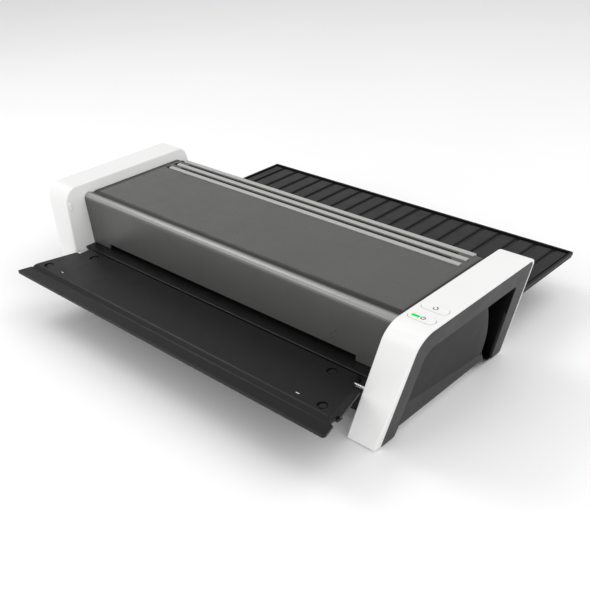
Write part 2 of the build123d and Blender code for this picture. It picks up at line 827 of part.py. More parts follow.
# ---------------------------------------------------------------- front tray
tray_low = tray_hinge_z - 2.5
tray_skin = tray_hinge_z + 0.2          # lip along the front edge
tray_deck = tray_hinge_z + 4.0          # raised deck that the pouch slides over
tray_lip = 12.5
tray_gap = 1.0
tray_root = toe + 4.5
hinge_half = 183.5


def tray_half(y, inset):
    """Half width of the tray, which fits between the flared casings when it is shut."""
    return inner_x(tray_hinge_z + tray_hinge_y - y) - tray_gap - inset


def tray_outline(y_tip, inset):
    right = [
        (tray_half(y_tip, inset), y_tip), (tray_half(tray_root, inset), tray_root - inset),
        (hinge_half - inset, tray_root - inset), (hinge_half - inset, toe + 18 - inset / 2),
    ]
    return right + [(-x, y) for x, y in reversed(right)]


with BuildPart() as front_tray:
    with BuildSketch(Plane.XY.offset(tray_low)) as tray_plan:
        with BuildLine():
            Polyline(*tray_outline(tray_tip, 0), close=True)
        make_face()
        fillet(tray_plan.vertices().group_by(Axis.Y)[0], 3)
    extrude(amount=tray_skin - tray_low)
    with BuildSketch(Plane.XY.offset(tray_skin)) as deck_plan:
        with BuildLine():
            Polyline(*tray_outline(tray_tip + tray_lip, 0.8), close=True)
        make_face()
    extrude(amount=tray_deck - tray_skin, taper=45)
    # round dimples in the deck
    with BuildSketch(Plane.XY.offset(tray_deck)):
        with Locations((-185, toe - 32), (185, toe - 32), (-161, toe + 7), (161, toe + 7)):
            Circle(4.4)
            Circle(3.0, mode=Mode.SUBTRACT)
    extrude(amount=-0.8, mode=Mode.SUBTRACT)
    # notches that clear the catch tabs when the tray is shut
    with BuildSketch(Plane.XY.offset(tray_low - 1)):
        for side in (-1, 1):
            with Locations((side * (tray_half(tray_hinge_y - tab_reach, 0) + 1), tray_hinge_y - tab_reach)):
                Rectangle(8.6, 11)
    extrude(amount=10, mode=Mode.SUBTRACT)
    # bores for the hinge pins
    for x in (-hinge_half - 1, hinge_half - 12):
        with BuildSketch(Plane.YZ.offset(x)):
            with Locations((tray_hinge_y, tray_hinge_z)):
                Circle(tray_pin_r)
        extrude(amount=13, mode=Mode.SUBTRACT)
save(front_tray.part, "front_tray")


def pin_pair(y, z, radius, x0, x1):
    with BuildPart() as pins:
        for x in (-x1, x0):
            with BuildSketch(Plane.YZ.offset(x)):
                with Locations((y, z)):
                    Circle(radius)
            extrude(amount=x1 - x0)
    return pins.part


save(pin_pair(tray_hinge_y, tray_hinge_z, tray_pin_r, hinge_half - 11, inner_x(tray_hinge_z) + 3),
     "tray_hinge_pins")

# ---------------------------------------------------------------- exit tray, which swings over as the lid
lid_half = 206.8
lid_skin = lid_low + 2.2
lid_rib = lid_low + 3.6
lid_rim = lid_low + 5.0
lid_root = toe + 185.5
lid_edge = 3.0           # width of its raised rim
arm_x0 = 179.0
arm_x1 = 187.0
arm_r = 5.5
band_pitch = 21.0
band_count = 18
groove_width = 3.4

with BuildPart() as exit_tray:
    with BuildSketch(Plane.XY.offset(lid_low)) as lid_plan:
        with BuildLine():
            Polyline(
                (arm_x1, lid_hinge_y + arm_r), (arm_x1, lid_root), (lid_half, lid_root), (lid_half, lid_tip),
                (-lid_half, lid_tip), (-lid_half, lid_root), (-arm_x1, lid_root),
                (-arm_x1, lid_hinge_y + arm_r), close=True)
        make_face()
        fillet(lid_plan.vertices().group_by(Axis.Y)[-1], 4)
    extrude(amount=lid_rim - lid_low)
    with BuildSketch(Plane.XY.offset(lid_skin)) as lid_well:
        with Locations((0, (lid_root + lid_tip) / 2)):
            Rectangle(2 * (lid_half - lid_edge), lid_tip - lid_root - 2 * lid_edge)
        fillet(lid_well.vertices().group_by(Axis.Y)[-1], 2)
        with Locations((0, lid_root)):
            Rectangle(2 * (arm_x1 - lid_edge), 20)
    extrude(amount=10, mode=Mode.SUBTRACT)
    # raised bands, front to rear, with grooves between them
    with BuildSketch(Plane.XY.offset(lid_skin)):
        with GridLocations(band_pitch, 1, band_count, 1):
            with Locations((0, (lid_root + lid_tip) / 2)):
                Rectangle(band_pitch - groove_width, lid_tip - lid_root - 10)
        with Locations(*[(sx * (lid_half - 9.8), (lid_root + lid_tip) / 2) for sx in (-1, 1)]):
            Rectangle(11, lid_tip - lid_root - 10)
    extrude(amount=lid_rib - lid_skin, taper=20)
    for x in (-arm_x1, arm_x0):
        with BuildSketch(Plane.YZ.offset(x)):
            with Locations((lid_hinge_y, lid_hinge_z)):
                Circle(arm_r)
            with BuildLine():
                Polyline((lid_hinge_y - arm_r, lid_low), (lid_root + 6, lid_low), (lid_root + 6, lid_rim),
                         (lid_hinge_y + arm_r + 1.5, lid_rim + 1), (lid_hinge_y + arm_r, lid_rim + 8),
                         (lid_hinge_y + arm_r, lid_hinge_z), (lid_hinge_y - arm_r, lid_hinge_z), close=True)
            make_face()
        extrude(amount=arm_x1 - arm_x0)
    for x in (-arm_x1 - 1, arm_x0 - 1):
        with BuildSketch(Plane.YZ.offset(x)):
            with Locations((lid_hinge_y, lid_hinge_z)):
                Circle(lid_pin_r + 0.05)
        extrude(amount=arm_x1 - arm_x0 + 2, mode=Mode.SUBTRACT)
save(exit_tray.part, "exit_tray")
save(pin_pair(lid_hinge_y, lid_hinge_z, lid_pin_r, arm_x0, inner_x(lid_hinge_z) + 2), "lid_hinge_pins")

# ---------------------------------------------------------------- screws
with BuildPart() as chassis_screws:
    with BuildSketch(Plane.XY.offset(base_floor + sheet)):
        with Locations((0, toe + 100)):
            with GridLocations(329, 40, 2, 3):
                Circle(2.8)
    extrude(amount=1.8)
save(chassis_screws.part, "chassis_screws")
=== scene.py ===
import json
from math import cos, pi, radians, sin, sqrt, tan

import bmesh
import bpy
from mathutils import Matrix, Vector
from mathutils.geometry import tessellate_polygon


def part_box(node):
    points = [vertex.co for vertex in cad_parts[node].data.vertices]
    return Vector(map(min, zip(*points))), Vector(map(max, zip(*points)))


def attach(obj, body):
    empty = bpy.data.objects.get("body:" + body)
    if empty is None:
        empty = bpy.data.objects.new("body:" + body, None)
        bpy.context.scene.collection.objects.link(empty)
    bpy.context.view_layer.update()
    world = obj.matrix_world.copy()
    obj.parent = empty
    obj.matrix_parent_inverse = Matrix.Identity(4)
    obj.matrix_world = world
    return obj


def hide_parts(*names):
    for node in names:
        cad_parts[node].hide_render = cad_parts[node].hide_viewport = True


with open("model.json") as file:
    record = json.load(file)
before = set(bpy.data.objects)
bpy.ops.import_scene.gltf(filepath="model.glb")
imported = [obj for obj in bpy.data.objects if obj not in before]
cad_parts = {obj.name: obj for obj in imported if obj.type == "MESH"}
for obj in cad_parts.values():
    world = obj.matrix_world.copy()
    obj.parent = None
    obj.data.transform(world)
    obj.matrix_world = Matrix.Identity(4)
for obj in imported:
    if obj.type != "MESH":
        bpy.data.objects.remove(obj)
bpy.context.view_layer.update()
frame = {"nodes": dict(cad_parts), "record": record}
nodes = frame["nodes"]

MM = 0.001
SIDES = (("left", -1), ("right", 1))

# ---------------- the frame's own measures, mm
# leans and flares are millimetres sideways for each millimetre of height
FRONT_LEAN = 0.125
REAR_LEAN = 0.1
OUTER_FLARE = 0.275
CAD_FLARE = 0.3137          # from the side's foot to the top edge of the CAD's end
INNER_FLARE = 0.25


def box(node):
    """Lowest and highest corner of a CAD node, in millimetres."""
    low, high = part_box(node)
    return low / MM, high / MM


casing_low, casing_high = box("right_casing")
FOOT = casing_low.z
TOP = casing_high.z
TOE = casing_low.y - FRONT_LEAN * FOOT
HEEL = casing_high.y + REAR_LEAN * FOOT
INNER = casing_low.x - INNER_FLARE * FOOT
OUTER = casing_high.x - CAD_FLARE * TOP
ARCH = 12.8                 # height of the arch between the feet
ARCH_FRONT = TOE + 26
ARCH_REAR = TOE + 172


# the casings' edges at a height
def front_y(z):
    return TOE + FRONT_LEAN * z


def rear_y(z):
    return HEEL - REAR_LEAN * z


def inner_x(z):
    return INNER + INNER_FLARE * z


def outer_x(z):
    return OUTER + OUTER_FLARE * z


def mid(a, b):
    return (a + b) / 2


def clamp(t):
    return min(1.0, max(0.0, t))


def smooth(t):
    t = clamp(t)
    return t * t * (3 - 2 * t)


def quarter(steps):
    """Angles of a quarter turn, with both ends."""
    return [pi / 2 * k / steps for k in range(steps + 1)]


# ---------------- materials
def link(piece):
    bpy.context.scene.collection.objects.link(piece)


def socket_value(node, name, value):
    node.inputs[name].default_value = value


def new_material(name):
    material = bpy.data.materials.new(name)
    material.use_nodes = True
    tree = material.node_tree
    tree.nodes.clear()
    output = tree.nodes.new("ShaderNodeOutputMaterial")
    shader = tree.nodes.new("ShaderNodeBsdfPrincipled")
    tree.links.new(shader.outputs["BSDF"], output.inputs["Surface"])
    return material, tree, shader


def noise(tree, scale, detail=3.0, rough=0.55, stretch=None):
    """Noise in the object's own space, optionally stretched along an axis."""
    coords = tree.nodes.new("ShaderNodeTexCoord")
    source = coords.outputs["Object"]
    if stretch:
        mapping = tree.nodes.new("ShaderNodeMapping")
        socket_value(mapping, "Scale", stretch)
        tree.links.new(source, mapping.inputs["Vector"])
        source = mapping.outputs["Vector"]
    texture = tree.nodes.new("ShaderNodeTexNoise")
    socket_value(texture, "Scale", scale)
    socket_value(texture, "Detail", detail)
    socket_value(texture, "Roughness", rough)
    tree.links.new(source, texture.inputs["Vector"])
    return texture.outputs["Fac"]


def ramp(tree, factor, low, high, color_low, color_high):
    node = tree.nodes.new("ShaderNodeValToRGB")
    node.color_ramp.elements[0].position = low
    node.color_ramp.elements[1].position = high
    node.color_ramp.elements[0].color = (*color_low, 1)
    node.color_ramp.elements[1].color = (*color_high, 1)
    tree.links.new(factor, node.inputs["Fac"])
    return node.outputs["Color"]


def remap(tree, factor, to_low, to_high, from_low=0.3, from_high=0.7):
    node = tree.nodes.new("ShaderNodeMapRange")
    socket_value(node, "From Min", from_low)
    socket_value(node, "From Max", from_high)
    socket_value(node, "To Min", to_low)
    socket_value(node, "To Max", to_high)
    tree.links.new(factor, node.inputs["Value"])
    return node.outputs["Result"]


def bump(tree, shader, factor, strength, distance):
    node = tree.nodes.new("ShaderNodeBump")
    socket_value(node, "Strength", strength)
    socket_value(node, "Distance", distance)
    tree.links.new(factor, node.inputs["Height"])
    tree.links.new(node.outputs["Normal"], shader.inputs["Normal"])


def tint(color, share):
    return tuple(clamp(c * share) for c in color)


def plastic(name, color, rough, grain=1800.0, grain_depth=0.00003, strength=0.25, vary=0.06,
            fine=0.05, coat=0.0, level=0.5, spread=0.06):
    """Moulded plastic: cloudy colour, fine speckle, uneven gloss and a spark-eroded grain."""
    material, tree, shader = new_material(name)
    cloud = ramp(tree, noise(tree, 14.0, 4.0), 0.3, 0.7, tint(color, 1 - vary), tint(color, 1 + vary))
    speck = ramp(tree, noise(tree, grain, 2.0), 0.35, 0.65, tint((1, 1, 1), 1 - fine), (1, 1, 1))
    mix = tree.nodes.new("ShaderNodeMix")
    mix.data_type = "RGBA"
    mix.blend_type = "MULTIPLY"
    mix.inputs[0].default_value = 1.0
    tree.links.new(cloud, mix.inputs[6])
    tree.links.new(speck, mix.inputs[7])
    tree.links.new(mix.outputs[2], shader.inputs["Base Color"])
    patches = noise(tree, 60.0, 4.0, 0.6)
    tree.links.new(remap(tree, patches, rough - spread, rough + spread), shader.inputs["Roughness"])
    socket_value(shader, "Specular IOR Level", level)
    socket_value(shader, "Coat Weight", coat)
    socket_value(shader, "Coat Roughness", 0.12)
    bump(tree, shader, noise(tree, grain, 2.0), strength, grain_depth)
    return material


def metal(name, color, rough, stretch=(1, 1, 1), scale=400.0, depth=0.00002, level=0.5):
    """Drawn, ground or plated metal with fine lines along one axis."""
    material, tree, shader = new_material(name)
    lines = noise(tree, scale, 3.0, 0.6, stretch)
    base = ramp(tree, lines, 0.3, 0.7, tint(color, 0.86), tint(color, 1.08))
    tree.links.new(base, shader.inputs["Base Color"])
    gloss = remap(tree, noise(tree, 35.0, 4.0), rough - 0.07, rough + 0.09)
    tree.links.new(gloss, shader.inputs["Roughness"])
    socket_value(shader, "Metallic", 1.0)
    socket_value(shader, "Specular IOR Level", level)
    bump(tree, shader, lines, 0.3, depth)
    return material


ALONG_X = (0.02, 1, 1)
MATERIALS = {
    "white_shell": plastic("white_shell", (0.84, 0.84, 0.835), 0.34, grain=2600, grain_depth=0.00001,
                           strength=0.15, vary=0.008, fine=0.012, coat=0.1),
    "anthracite_cover": plastic("anthracite_cover", (0.082, 0.081, 0.079), 0.33, grain=1500,
                                grain_depth=0.00003, strength=0.25, vary=0.05, fine=0.2),
    # the next two are painted highlight: lighter, glossier copies of the cover plastic for the glint along
    # its rounded front edge
    "cover_bead_painted_highlight": plastic("cover_bead_painted_highlight", (0.3, 0.296, 0.29), 0.22, grain=1500, grain_depth=0.00002,
                          strength=0.15, vary=0.04, fine=0.15, spread=0.03),
    "bead_painted_highlight_edge": plastic("bead_painted_highlight_edge", (0.14, 0.138, 0.135), 0.26, grain=1500, grain_depth=0.00002,
                         strength=0.15, vary=0.04, fine=0.15, spread=0.03),
    # painted shade: a darker copy of the cover plastic for the groove behind the bead and the strips beside
    # the casings
    "cover_painted_shade": plastic("cover_painted_shade", (0.024, 0.0235, 0.023), 0.4, grain=1500, grain_depth=0.00003,
                            strength=0.25, vary=0.05, fine=0.18, level=0.3),
    "side_grey": plastic("side_grey", (0.037, 0.037, 0.037), 0.5, grain=1700, strength=0.3, vary=0.04,
                         fine=0.12, level=0.3),
    # painted shade: a near-black copy of the side cover's grey plastic for its recessed panel
    "side_panel_painted_shade": plastic("side_panel_painted_shade", (0.007, 0.007, 0.007), 0.5, grain=1300, strength=0.35, vary=0.03,
                          fine=0.16, level=0.25, spread=0.02),
    "grip_black": plastic("grip_black", (0.004, 0.004, 0.004), 0.36, vary=0.1, level=0.3),
    "black_plastic": plastic("black_plastic", (0.009, 0.009, 0.009), 0.36, grain=1600, strength=0.2,
                             vary=0.08, fine=0.15, level=0.22),
    "inner_black": plastic("inner_black", (0.008, 0.008, 0.008), 0.6, grain=1200, strength=0.3, vary=0.1,
                           level=0.25),
    "silver_trim": plastic("silver_trim", (0.40, 0.40, 0.39), 0.3, grain=3000, grain_depth=0.00001,
                           strength=0.1, vary=0.02, fine=0.03, coat=0.1),
    "plated_steel": metal("plated_steel", (0.36, 0.36, 0.37), 0.45, scale=120.0, depth=0.000002),
    "bright_steel": metal("bright_steel", (0.72, 0.72, 0.73), 0.2, ALONG_X, 700.0),
    "red_silicone": plastic("red_silicone", (0.28, 0.045, 0.03), 0.7, grain=900, vary=0.1, fine=0.1),
    "grey_silicone": plastic("grey_silicone", (0.22, 0.22, 0.22), 0.7, grain=900, vary=0.1, fine=0.1),
    "gear_nylon": plastic("gear_nylon", (0.72, 0.70, 0.64), 0.45, grain=1400, vary=0.03, fine=0.05),
    "heater_aluminium": metal("heater_aluminium", (0.74, 0.74, 0.75), 0.38, ALONG_X, 500.0),
    "heater_mica": plastic("heater_mica", (0.38, 0.30, 0.19), 0.55, grain=500, vary=0.2, fine=0.3),
    "motor_can": metal("motor_can", (0.55, 0.55, 0.56), 0.35, scale=300.0),
    "circuit_board": plastic("circuit_board", (0.012, 0.13, 0.045), 0.35, grain=700, vary=0.2, fine=0.2,
                             coat=0.4),
    "switch_black": plastic("switch_black", (0.012, 0.012, 0.012), 0.45),
    "foot_rubber": plastic("foot_rubber", (0.02, 0.02, 0.02), 0.8, grain=900, strength=0.5, vary=0.2,
                           fine=0.3),
    "key_white": plastic("key_white", (0.85, 0.85, 0.845), 0.3, grain=2600, grain_depth=0.00001,
                         strength=0.1, vary=0.006, fine=0.01, coat=0.15),
    "symbol_ink": plastic("symbol_ink", (0.02, 0.02, 0.021), 0.5, vary=0.05, fine=0.05, level=0.2),
    "mark_ink": plastic("mark_ink", (0.62, 0.62, 0.62), 0.5, vary=0.05, fine=0.1),
}


def light_material():
    material, tree, shader = new_material("light_green")
    glow = ramp(tree, noise(tree, 500.0), 0.3, 0.7, (0.0, 0.40, 0.012), (0.0, 0.52, 0.02))
    tree.links.new(glow, shader.inputs["Base Color"])
    tree.links.new(glow, shader.inputs["Emission Color"])
    socket_value(shader, "Emission Strength", 0.55)
    socket_value(shader, "Specular IOR Level", 0.1)
    tree.links.new(remap(tree, noise(tree, 900.0), 0.15, 0.3), shader.inputs["Roughness"])
    return material


MATERIALS["light_green"] = light_material()

for part in frame["record"]["subparts"]:
    cad = nodes[part["node"]]
    cad.data.materials.clear()
    cad.data.materials.append(MATERIALS[part["material_slot"]])


# ---------------- mesh helpers
class Shape:
    """Vertices and faces in millimetres, built from closed loops."""

    def __init__(self):
        self.verts = []
        self.faces = []

    def loop(self, points):
        start = len(self.verts)
        self.verts += [tuple(p) for p in points]
        return list(range(start, len(self.verts)))

    def bridge(self, a, b, closed=True):
        count = len(a)
        for i in range(count if closed else count - 1):
            j = (i + 1) % count
            self.faces.append((a[i], a[j], b[j], b[i]))

    def cap(self, *loops):
        """Fills a loop, less any holes given after it."""
        ids = [i for loop in loops for i in loop]
        outlines = [[Vector(self.verts[i]) for i in loop] for loop in loops]
        self.faces += [tuple(ids[k] for k in triangle) for triangle in tessellate_polygon(outlines)]

    def loft(self, outlines, start_cap=True, end_cap=True):
        rings = [self.loop(outline) for outline in outlines]
        for a, b in zip(rings, rings[1:]):
            self.bridge(a, b)
        if start_cap:
            self.cap(rings[0])
        if end_cap:
            self.cap(rings[-1])
        return rings

    def grid(self, rows):
        rings = [self.loop(row) for row in rows]
        for a, b in zip(rings, rings[1:]):
            self.bridge(a, b, closed=False)
        return rings


def rounded(points, radii, steps=6):
    """A closed outline with an arc at each corner, always steps + 1 points a corner."""
    out = []
    count = len(points)
    for i, point in enumerate(points):
        corner = Vector(point)
        a = (Vector(points[i - 1]) - corner).normalized()
        b = (Vector(points[(i + 1) % count]) - corner).normalized()
        radius = max(radii[i], 0.02)
        half = a.angle(b) / 2
        reach = radius / tan(half)
        centre = corner + (a + b).normalized() * (radius / sin(half))
        start = corner + a * reach - centre
        end = corner + b * reach - centre
        for k in range(steps + 1):
            out.append(centre + start.slerp(end, k / steps).normalized() * radius)
    return out


def area(outline):
    return sum(p.x * q.y - q.x * p.y for p, q in zip(outline, outline[1:] + outline[:1])) / 2


def inset(outline, amount):
    """The outline moved inwards, one point for one."""
    sign = 1 if area(outline) > 0 else -1
    count = len(outline)
    out = []
    for i, p in enumerate(outline):
        before = p - outline[i - 1]
        after = outline[(i + 1) % count] - p
        if before.length < 1e-6:
            before = after
        if after.length < 1e-6:
            after = before
        n1 = Vector((-before.y, before.x)).normalized() * sign
        n2 = Vector((-after.y, after.x)).normalized() * sign
        n = (n1 + n2).normalized()
        out.append(p + n * (amount / max(0.35, n.dot(n1))))
    return out


def rolled(outline, radius, depth_from, depth_to, steps=4):
    """(outline, depth) pairs for a slab whose edge at depth_from is rounded."""
    sign = 1 if depth_to > depth_from else -1
    pairs = []
    for angle in quarter(steps):
        depth = depth_from + sign * radius * (1 - cos(angle))
        pairs.append((inset(outline, radius * (1 - sin(angle))), depth))
    pairs.append((outline, depth_to))
    return pairs


def cleaned(name, shape, merge):
    """A shape's mesh in metres, and its bmesh with near points merged and faces outwards."""
    mesh = bpy.data.meshes.new(name)
    mesh.from_pydata([tuple(c * MM for c in v) for v in shape.verts], [], shape.faces)
    bm = bmesh.new()
    bm.from_mesh(mesh)
    bmesh.ops.remove_doubles(bm, verts=bm.verts, dist=merge * MM)
    bmesh.ops.dissolve_degenerate(bm, edges=bm.edges, dist=0.0005 * MM)
    bmesh.ops.recalc_face_normals(bm, faces=bm.faces)
    return mesh, bm


def store(bm, mesh):
    bm.to_mesh(mesh)
    bm.free()


def shade(mesh, angle):
    for polygon in mesh.polygons:
        polygon.use_smooth = True
    mesh.set_sharp_from_angle(angle=radians(angle))


def weight_normals(piece):
    weights = piece.modifiers.new("weighted", "WEIGHTED_NORMAL")
    weights.keep_sharp = True


def make(name, shape, body, material, replaces=(), angle=32.0, solidify=0.0, facing=None):
    """A visible piece that rides on a body."""
    mesh, bm = cleaned(name, shape, 0.002)
    if facing:
        bm.normal_update()
        if sum((f.normal * f.calc_area() for f in bm.faces), Vector()).dot(facing) < 0:
            bmesh.ops.reverse_faces(bm, faces=bm.faces)
    store(bm, mesh)
    shade(mesh, angle)
    piece = bpy.data.objects.new(name, mesh)
    link(piece)
    mesh.materials.append(MATERIALS[material])
    if solidify:
        skin = piece.modifiers.new("skin", "SOLIDIFY")
        skin.thickness = solidify * MM
        skin.offset = -1
    weight_normals(piece)
    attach(piece, body)
    if replaces:
        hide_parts(*replaces)
    return piece


def round_ended(x, y, length, width, shrink=0.0, steps=8):
    """Outline of a slot or key with round ends."""
    half, r = length / 2 - width / 2, width / 2 - shrink
    return [(end + r * cos(first + pi * k / steps), y + r * sin(first + pi * k / steps))
            for end, first in ((x + half, -pi / 2), (x - half, pi / 2)) for k in range(steps + 1)]


def pill(x, y, length, width, z0, z1, steps=8):
    """A cutter or plug with round ends."""
    ring = round_ended(x, y, length, width, steps=steps)
    shape = Shape()
    shape.loft([[(px, py, z) for px, py in ring] for z in (z0, z1)])
    return shape


def brick(x0, x1, y0, y1, z0, z1):
    shape = Shape()
    corners = [(x0, y0), (x1, y0), (x1, y1), (x0, y1)]
    shape.loft([[(x, y, z) for x, y in corners] for z in (z0, z1)])
    return shape


def side_point(side, y, z, depth):
    """A point of a casing's outer side, sunk by depth."""
    return (side * (outer_x(z) - depth), y, z)


# ---------------- white end casings
RIM = 2.4                   # width of the white band along the top and the rear
WRAP_LOW = 7.0              # and along the front edge, at its foot and at its top
WRAP_HIGH = 1.7
REBATE = 2.9                # how deep the side cover sits behind the band
SHELL_WALL = 2.5
WINDOW_TOP = 90.5           # top of the panel and of the hand grip
key_boxes = {name: box(f"{name}_key") for name in ("power", "reverse")}
tray_pin_low, tray_pin_high = box("tray_hinge_pins")
tray_hinge = (mid(tray_pin_low.y, tray_pin_high.y), mid(tray_pin_low.z, tray_pin_high.z))
lid_pin_low, lid_pin_high = box("lid_hinge_pins")
lid_hinge = (mid(lid_pin_low.y, lid_pin_high.y), mid(lid_pin_low.z, lid_pin_high.z))
CATCH_REACH = 46.0          # from the front tray's hinge to its catch
CATCH_Y = TOE + 16.5
CATCH_Z = tray_hinge[1] + CATCH_REACH


def combine(piece, shapes, operation="DIFFERENCE", angle=35, merge_flat=True):
    """Adds closed shapes to a piece, or takes them away, and keeps the result as its mesh."""
    for shape in shapes:
        mesh, bm = cleaned("tool", shape, 0.001)
        store(bm, mesh)
        tool = bpy.data.objects.new("tool", mesh)
        link(tool)
        step = piece.modifiers.new("step", "BOOLEAN")
        step.operation = operation
        step.solver = "EXACT"
        step.object = tool
        bpy.context.view_layer.update()
        depsgraph = bpy.context.evaluated_depsgraph_get()
        result = bpy.data.meshes.new_from_object(piece.evaluated_get(depsgraph))
        piece.modifiers.clear()
        piece.data = result
        bpy.data.objects.remove(tool)
    bm = bmesh.new()
    bm.from_mesh(piece.data)
    bmesh.ops.remove_doubles(bm, verts=bm.verts, dist=0.001 * MM)
    if merge_flat:
        bmesh.ops.dissolve_limit(bm, angle_limit=radians(0.3), verts=bm.verts, edges=bm.edges)
    store(bm, piece.data)
    shade(piece.data, angle)
    weight_normals(piece)


def paint(piece, material, chosen):
    """Gives a second material to the faces picked by their middle and normal."""
    piece.data.materials.append(MATERIALS[material])
    index = len(piece.data.materials) - 1
    for polygon in piece.data.polygons:
        if chosen(polygon.center / MM, polygon.normal):
            polygon.material_index = index


def mirror(piece):
    """Turns a right-hand piece into its left-hand twin."""
    bm = bmesh.new()
    bm.from_mesh(piece.data)
    bmesh.ops.scale(bm, vec=(-1, 1, 1), verts=bm.verts)
    bmesh.ops.reverse_faces(bm, faces=bm.faces)
    store(bm, piece.data)


def prism(outline, place_low, place_high):
    """A closed shape between two mappings of a side-view outline."""
    shape = Shape()
    shape.loft([[place_low(y, z) for y, z in outline], [place_high(y, z) for y, z in outline]])
    return shape


def vary_roll(outline, radii, steps=4):
    """Rings of (y, z, depth) that round a slab's edge by each point's own radius."""
    unit = [a - b for a, b in zip(inset(outline, 1.0), outline)]
    rings = []
    for angle in quarter(steps):
        inwards, depth = 1 - sin(angle), 1 - cos(angle)
        rings.append([(p.x + u.x * r * inwards, p.y + u.y * r * inwards, r * depth)
                      for p, u, r in zip(outline, unit, radii)])
    return rings


def side_x(flare_x, depth):
    """Places a side-view point on a flared wall, moved outwards by depth."""
    return lambda y, z: (flare_x(z) + depth, y, z)


CORNER = 12                 # steps an arc
arch_corners = [(ARCH_REAR, FOOT), (ARCH_REAR - 2, ARCH), (ARCH_FRONT + 2, ARCH), (ARCH_FRONT, FOOT)]
shell_outline = rounded([
    (front_y(FOOT), FOOT), (front_y(TOP), TOP), (rear_y(TOP), TOP), (rear_y(FOOT), FOOT),
] + arch_corners, [1.2, 18, 10, 1.2, 1.2, 2, 2, 1.2], CORNER)
# where the white band round the end stops and the dark side cover starts
rim_outline = rounded([
    (front_y(FOOT) + WRAP_LOW, FOOT), (front_y(TOP - RIM) + WRAP_HIGH, TOP - RIM),
    (rear_y(TOP - RIM) - RIM, TOP - RIM), (rear_y(FOOT) - RIM, FOOT),
] + arch_corners, [1.2, 16, 8, 1.0, 1.2, 2, 2, 1.2], CORNER)
BAND = 4 * (CORNER + 1)     # the outline's points that belong to the band
# how much the band's outer edge is rounded at its four corners, and not at all round the arch
band_radii = [radius for radius in (2.4, 1.6, 1.2, 1.0) for _ in range(CORNER + 1)] + [0.0] * BAND


def casing_shape():
    """Inner wall, band over the top and rim round the side cover, as one closed surface."""
    shape = Shape()
    rings = [[(inner_x(z) + depth, y, z) for y, z, depth in ring]
             for ring in vary_roll(shell_outline, [1.5] * len(shell_outline))]
    for ring in reversed(vary_roll(shell_outline, band_radii)):
        rings.append([side_point(1, y, z, depth if i < BAND else REBATE)
                      for i, (y, z, depth) in enumerate(ring)])
    for depth in (0.0, REBATE):
        rings.append([side_point(1, p.x, p.y, depth if i < BAND else REBATE)
                      for i, p in enumerate(rim_outline)])
    shape.loft(rings)
    return shape


cavity_outline = [(front_y(ARCH) + WRAP_LOW, ARCH + 2), (front_y(TOP) + WRAP_HIGH, TOP - RIM),
                  (rear_y(TOP) - RIM, TOP - RIM), (rear_y(ARCH) - RIM, ARCH + 2)]
cavity_outline = [tuple(p) for p in rounded(cavity_outline, [2, 16, 8, 2], CORNER)]
# front and rear edges of the hand grip, as (z, y)
GRIP_FRONT = [(4.5, TOE + 160), (6.5, TOE + 156), (10.5, TOE + 151), (14, TOE + 148.5), (20, TOE + 147),
              (30, TOE + 146), (42, TOE + 143.5), (55, TOE + 138.5), (69, TOE + 131.5), (80, TOE + 125),
              (WINDOW_TOP, TOE + 118.5)]
GRIP_REAR = [(4.5, ARCH_REAR), (WINDOW_TOP, TOE + 160.7)]
GRIP_CUT = 21.8             # depth of the space cut for the grip
grip_space = [Vector((y, z)) for z, y in GRIP_FRONT] + [Vector((y, z)) for z, y in reversed(GRIP_REAR)]
grip_space = [tuple(p) for p in inset(grip_space, -1.9)]
inner_opening = [(TOE + 41, 19), (TOE + 159, 19), (TOE + 159, 97), (TOE + 41, 97)]


def disc(x, y, radius, steps=20):
    """Outline of a full circle."""
    turns = [2 * pi * k / steps for k in range(steps)]
    return [(x + radius * cos(a), y + radius * sin(a)) for a in turns]


def key_size(key):
    """Middle, length and width of a key's cap, which is smaller than its skirt."""
    low, high = key_boxes[key]
    return mid(low.x, high.x), mid(low.y, high.y), high.x - low.x - 2, high.y - low.y - 2


def key_hole(key, gap):
    x, y, length, width = key_size(key)
    return pill(x, y, length + 2 * gap, width + 2 * gap, TOP - 20, TOP + 10, 10)


def pin_hole(hinge, radius, pin_end):
    """A blind hole for a hinge pin, from inside the casing."""
    return prism(disc(*hinge, radius), lambda y, z: (INNER, y, z), lambda y, z: (pin_end + 0.4, y, z))


for side_name, side in SIDES:
    # both are cut as the right-hand one
    shell = make(f"{side_name}_shell", casing_shape(), "chassis", "white_shell", (f"{side_name}_casing",))
    shell.modifiers.clear()
    away = [
        prism(cavity_outline, side_x(inner_x, SHELL_WALL), side_x(outer_x, 5)),
        prism(inner_opening, lambda y, z: (INNER - 5, y, z), side_x(inner_x, 6)),
        prism(grip_space, side_x(outer_x, -GRIP_CUT), side_x(outer_x, 5)),
        pin_hole(tray_hinge, 1.6, tray_pin_high.x),
        pin_hole(lid_hinge, 1.85, lid_pin_high.x),
    ]
    if side > 0:
        away += [key_hole(key, 0.4) for key in key_boxes]
    combine(shell, away)
    if side < 0:
        mirror(shell)

    # tab that holds the front tray shut, as (proud, shrink) steps
    tab_corners = [(-1.1, -3.5), (1.1, -3.5), (1.1, 3.5), (-1.1, 3.5)]
    tab = rounded([(CATCH_Y + y, CATCH_Z + z) for y, z in tab_corners], [0.7] * 4, 5)
    tab_steps = [(-0.8, -0.5), (0.0, -0.3), (0.2, 0.0), (0.7, 0.05), (0.95, 0.2), (1.05, 0.5)]
    shape = Shape()
    shape.loft([[(side * (inner_x(p.y) - proud), p.x, p.y) for p in inset(tab, shrink)]
                for proud, shrink in tab_steps])
    make(f"{side_name}_catch", shape, "chassis", "white_shell")

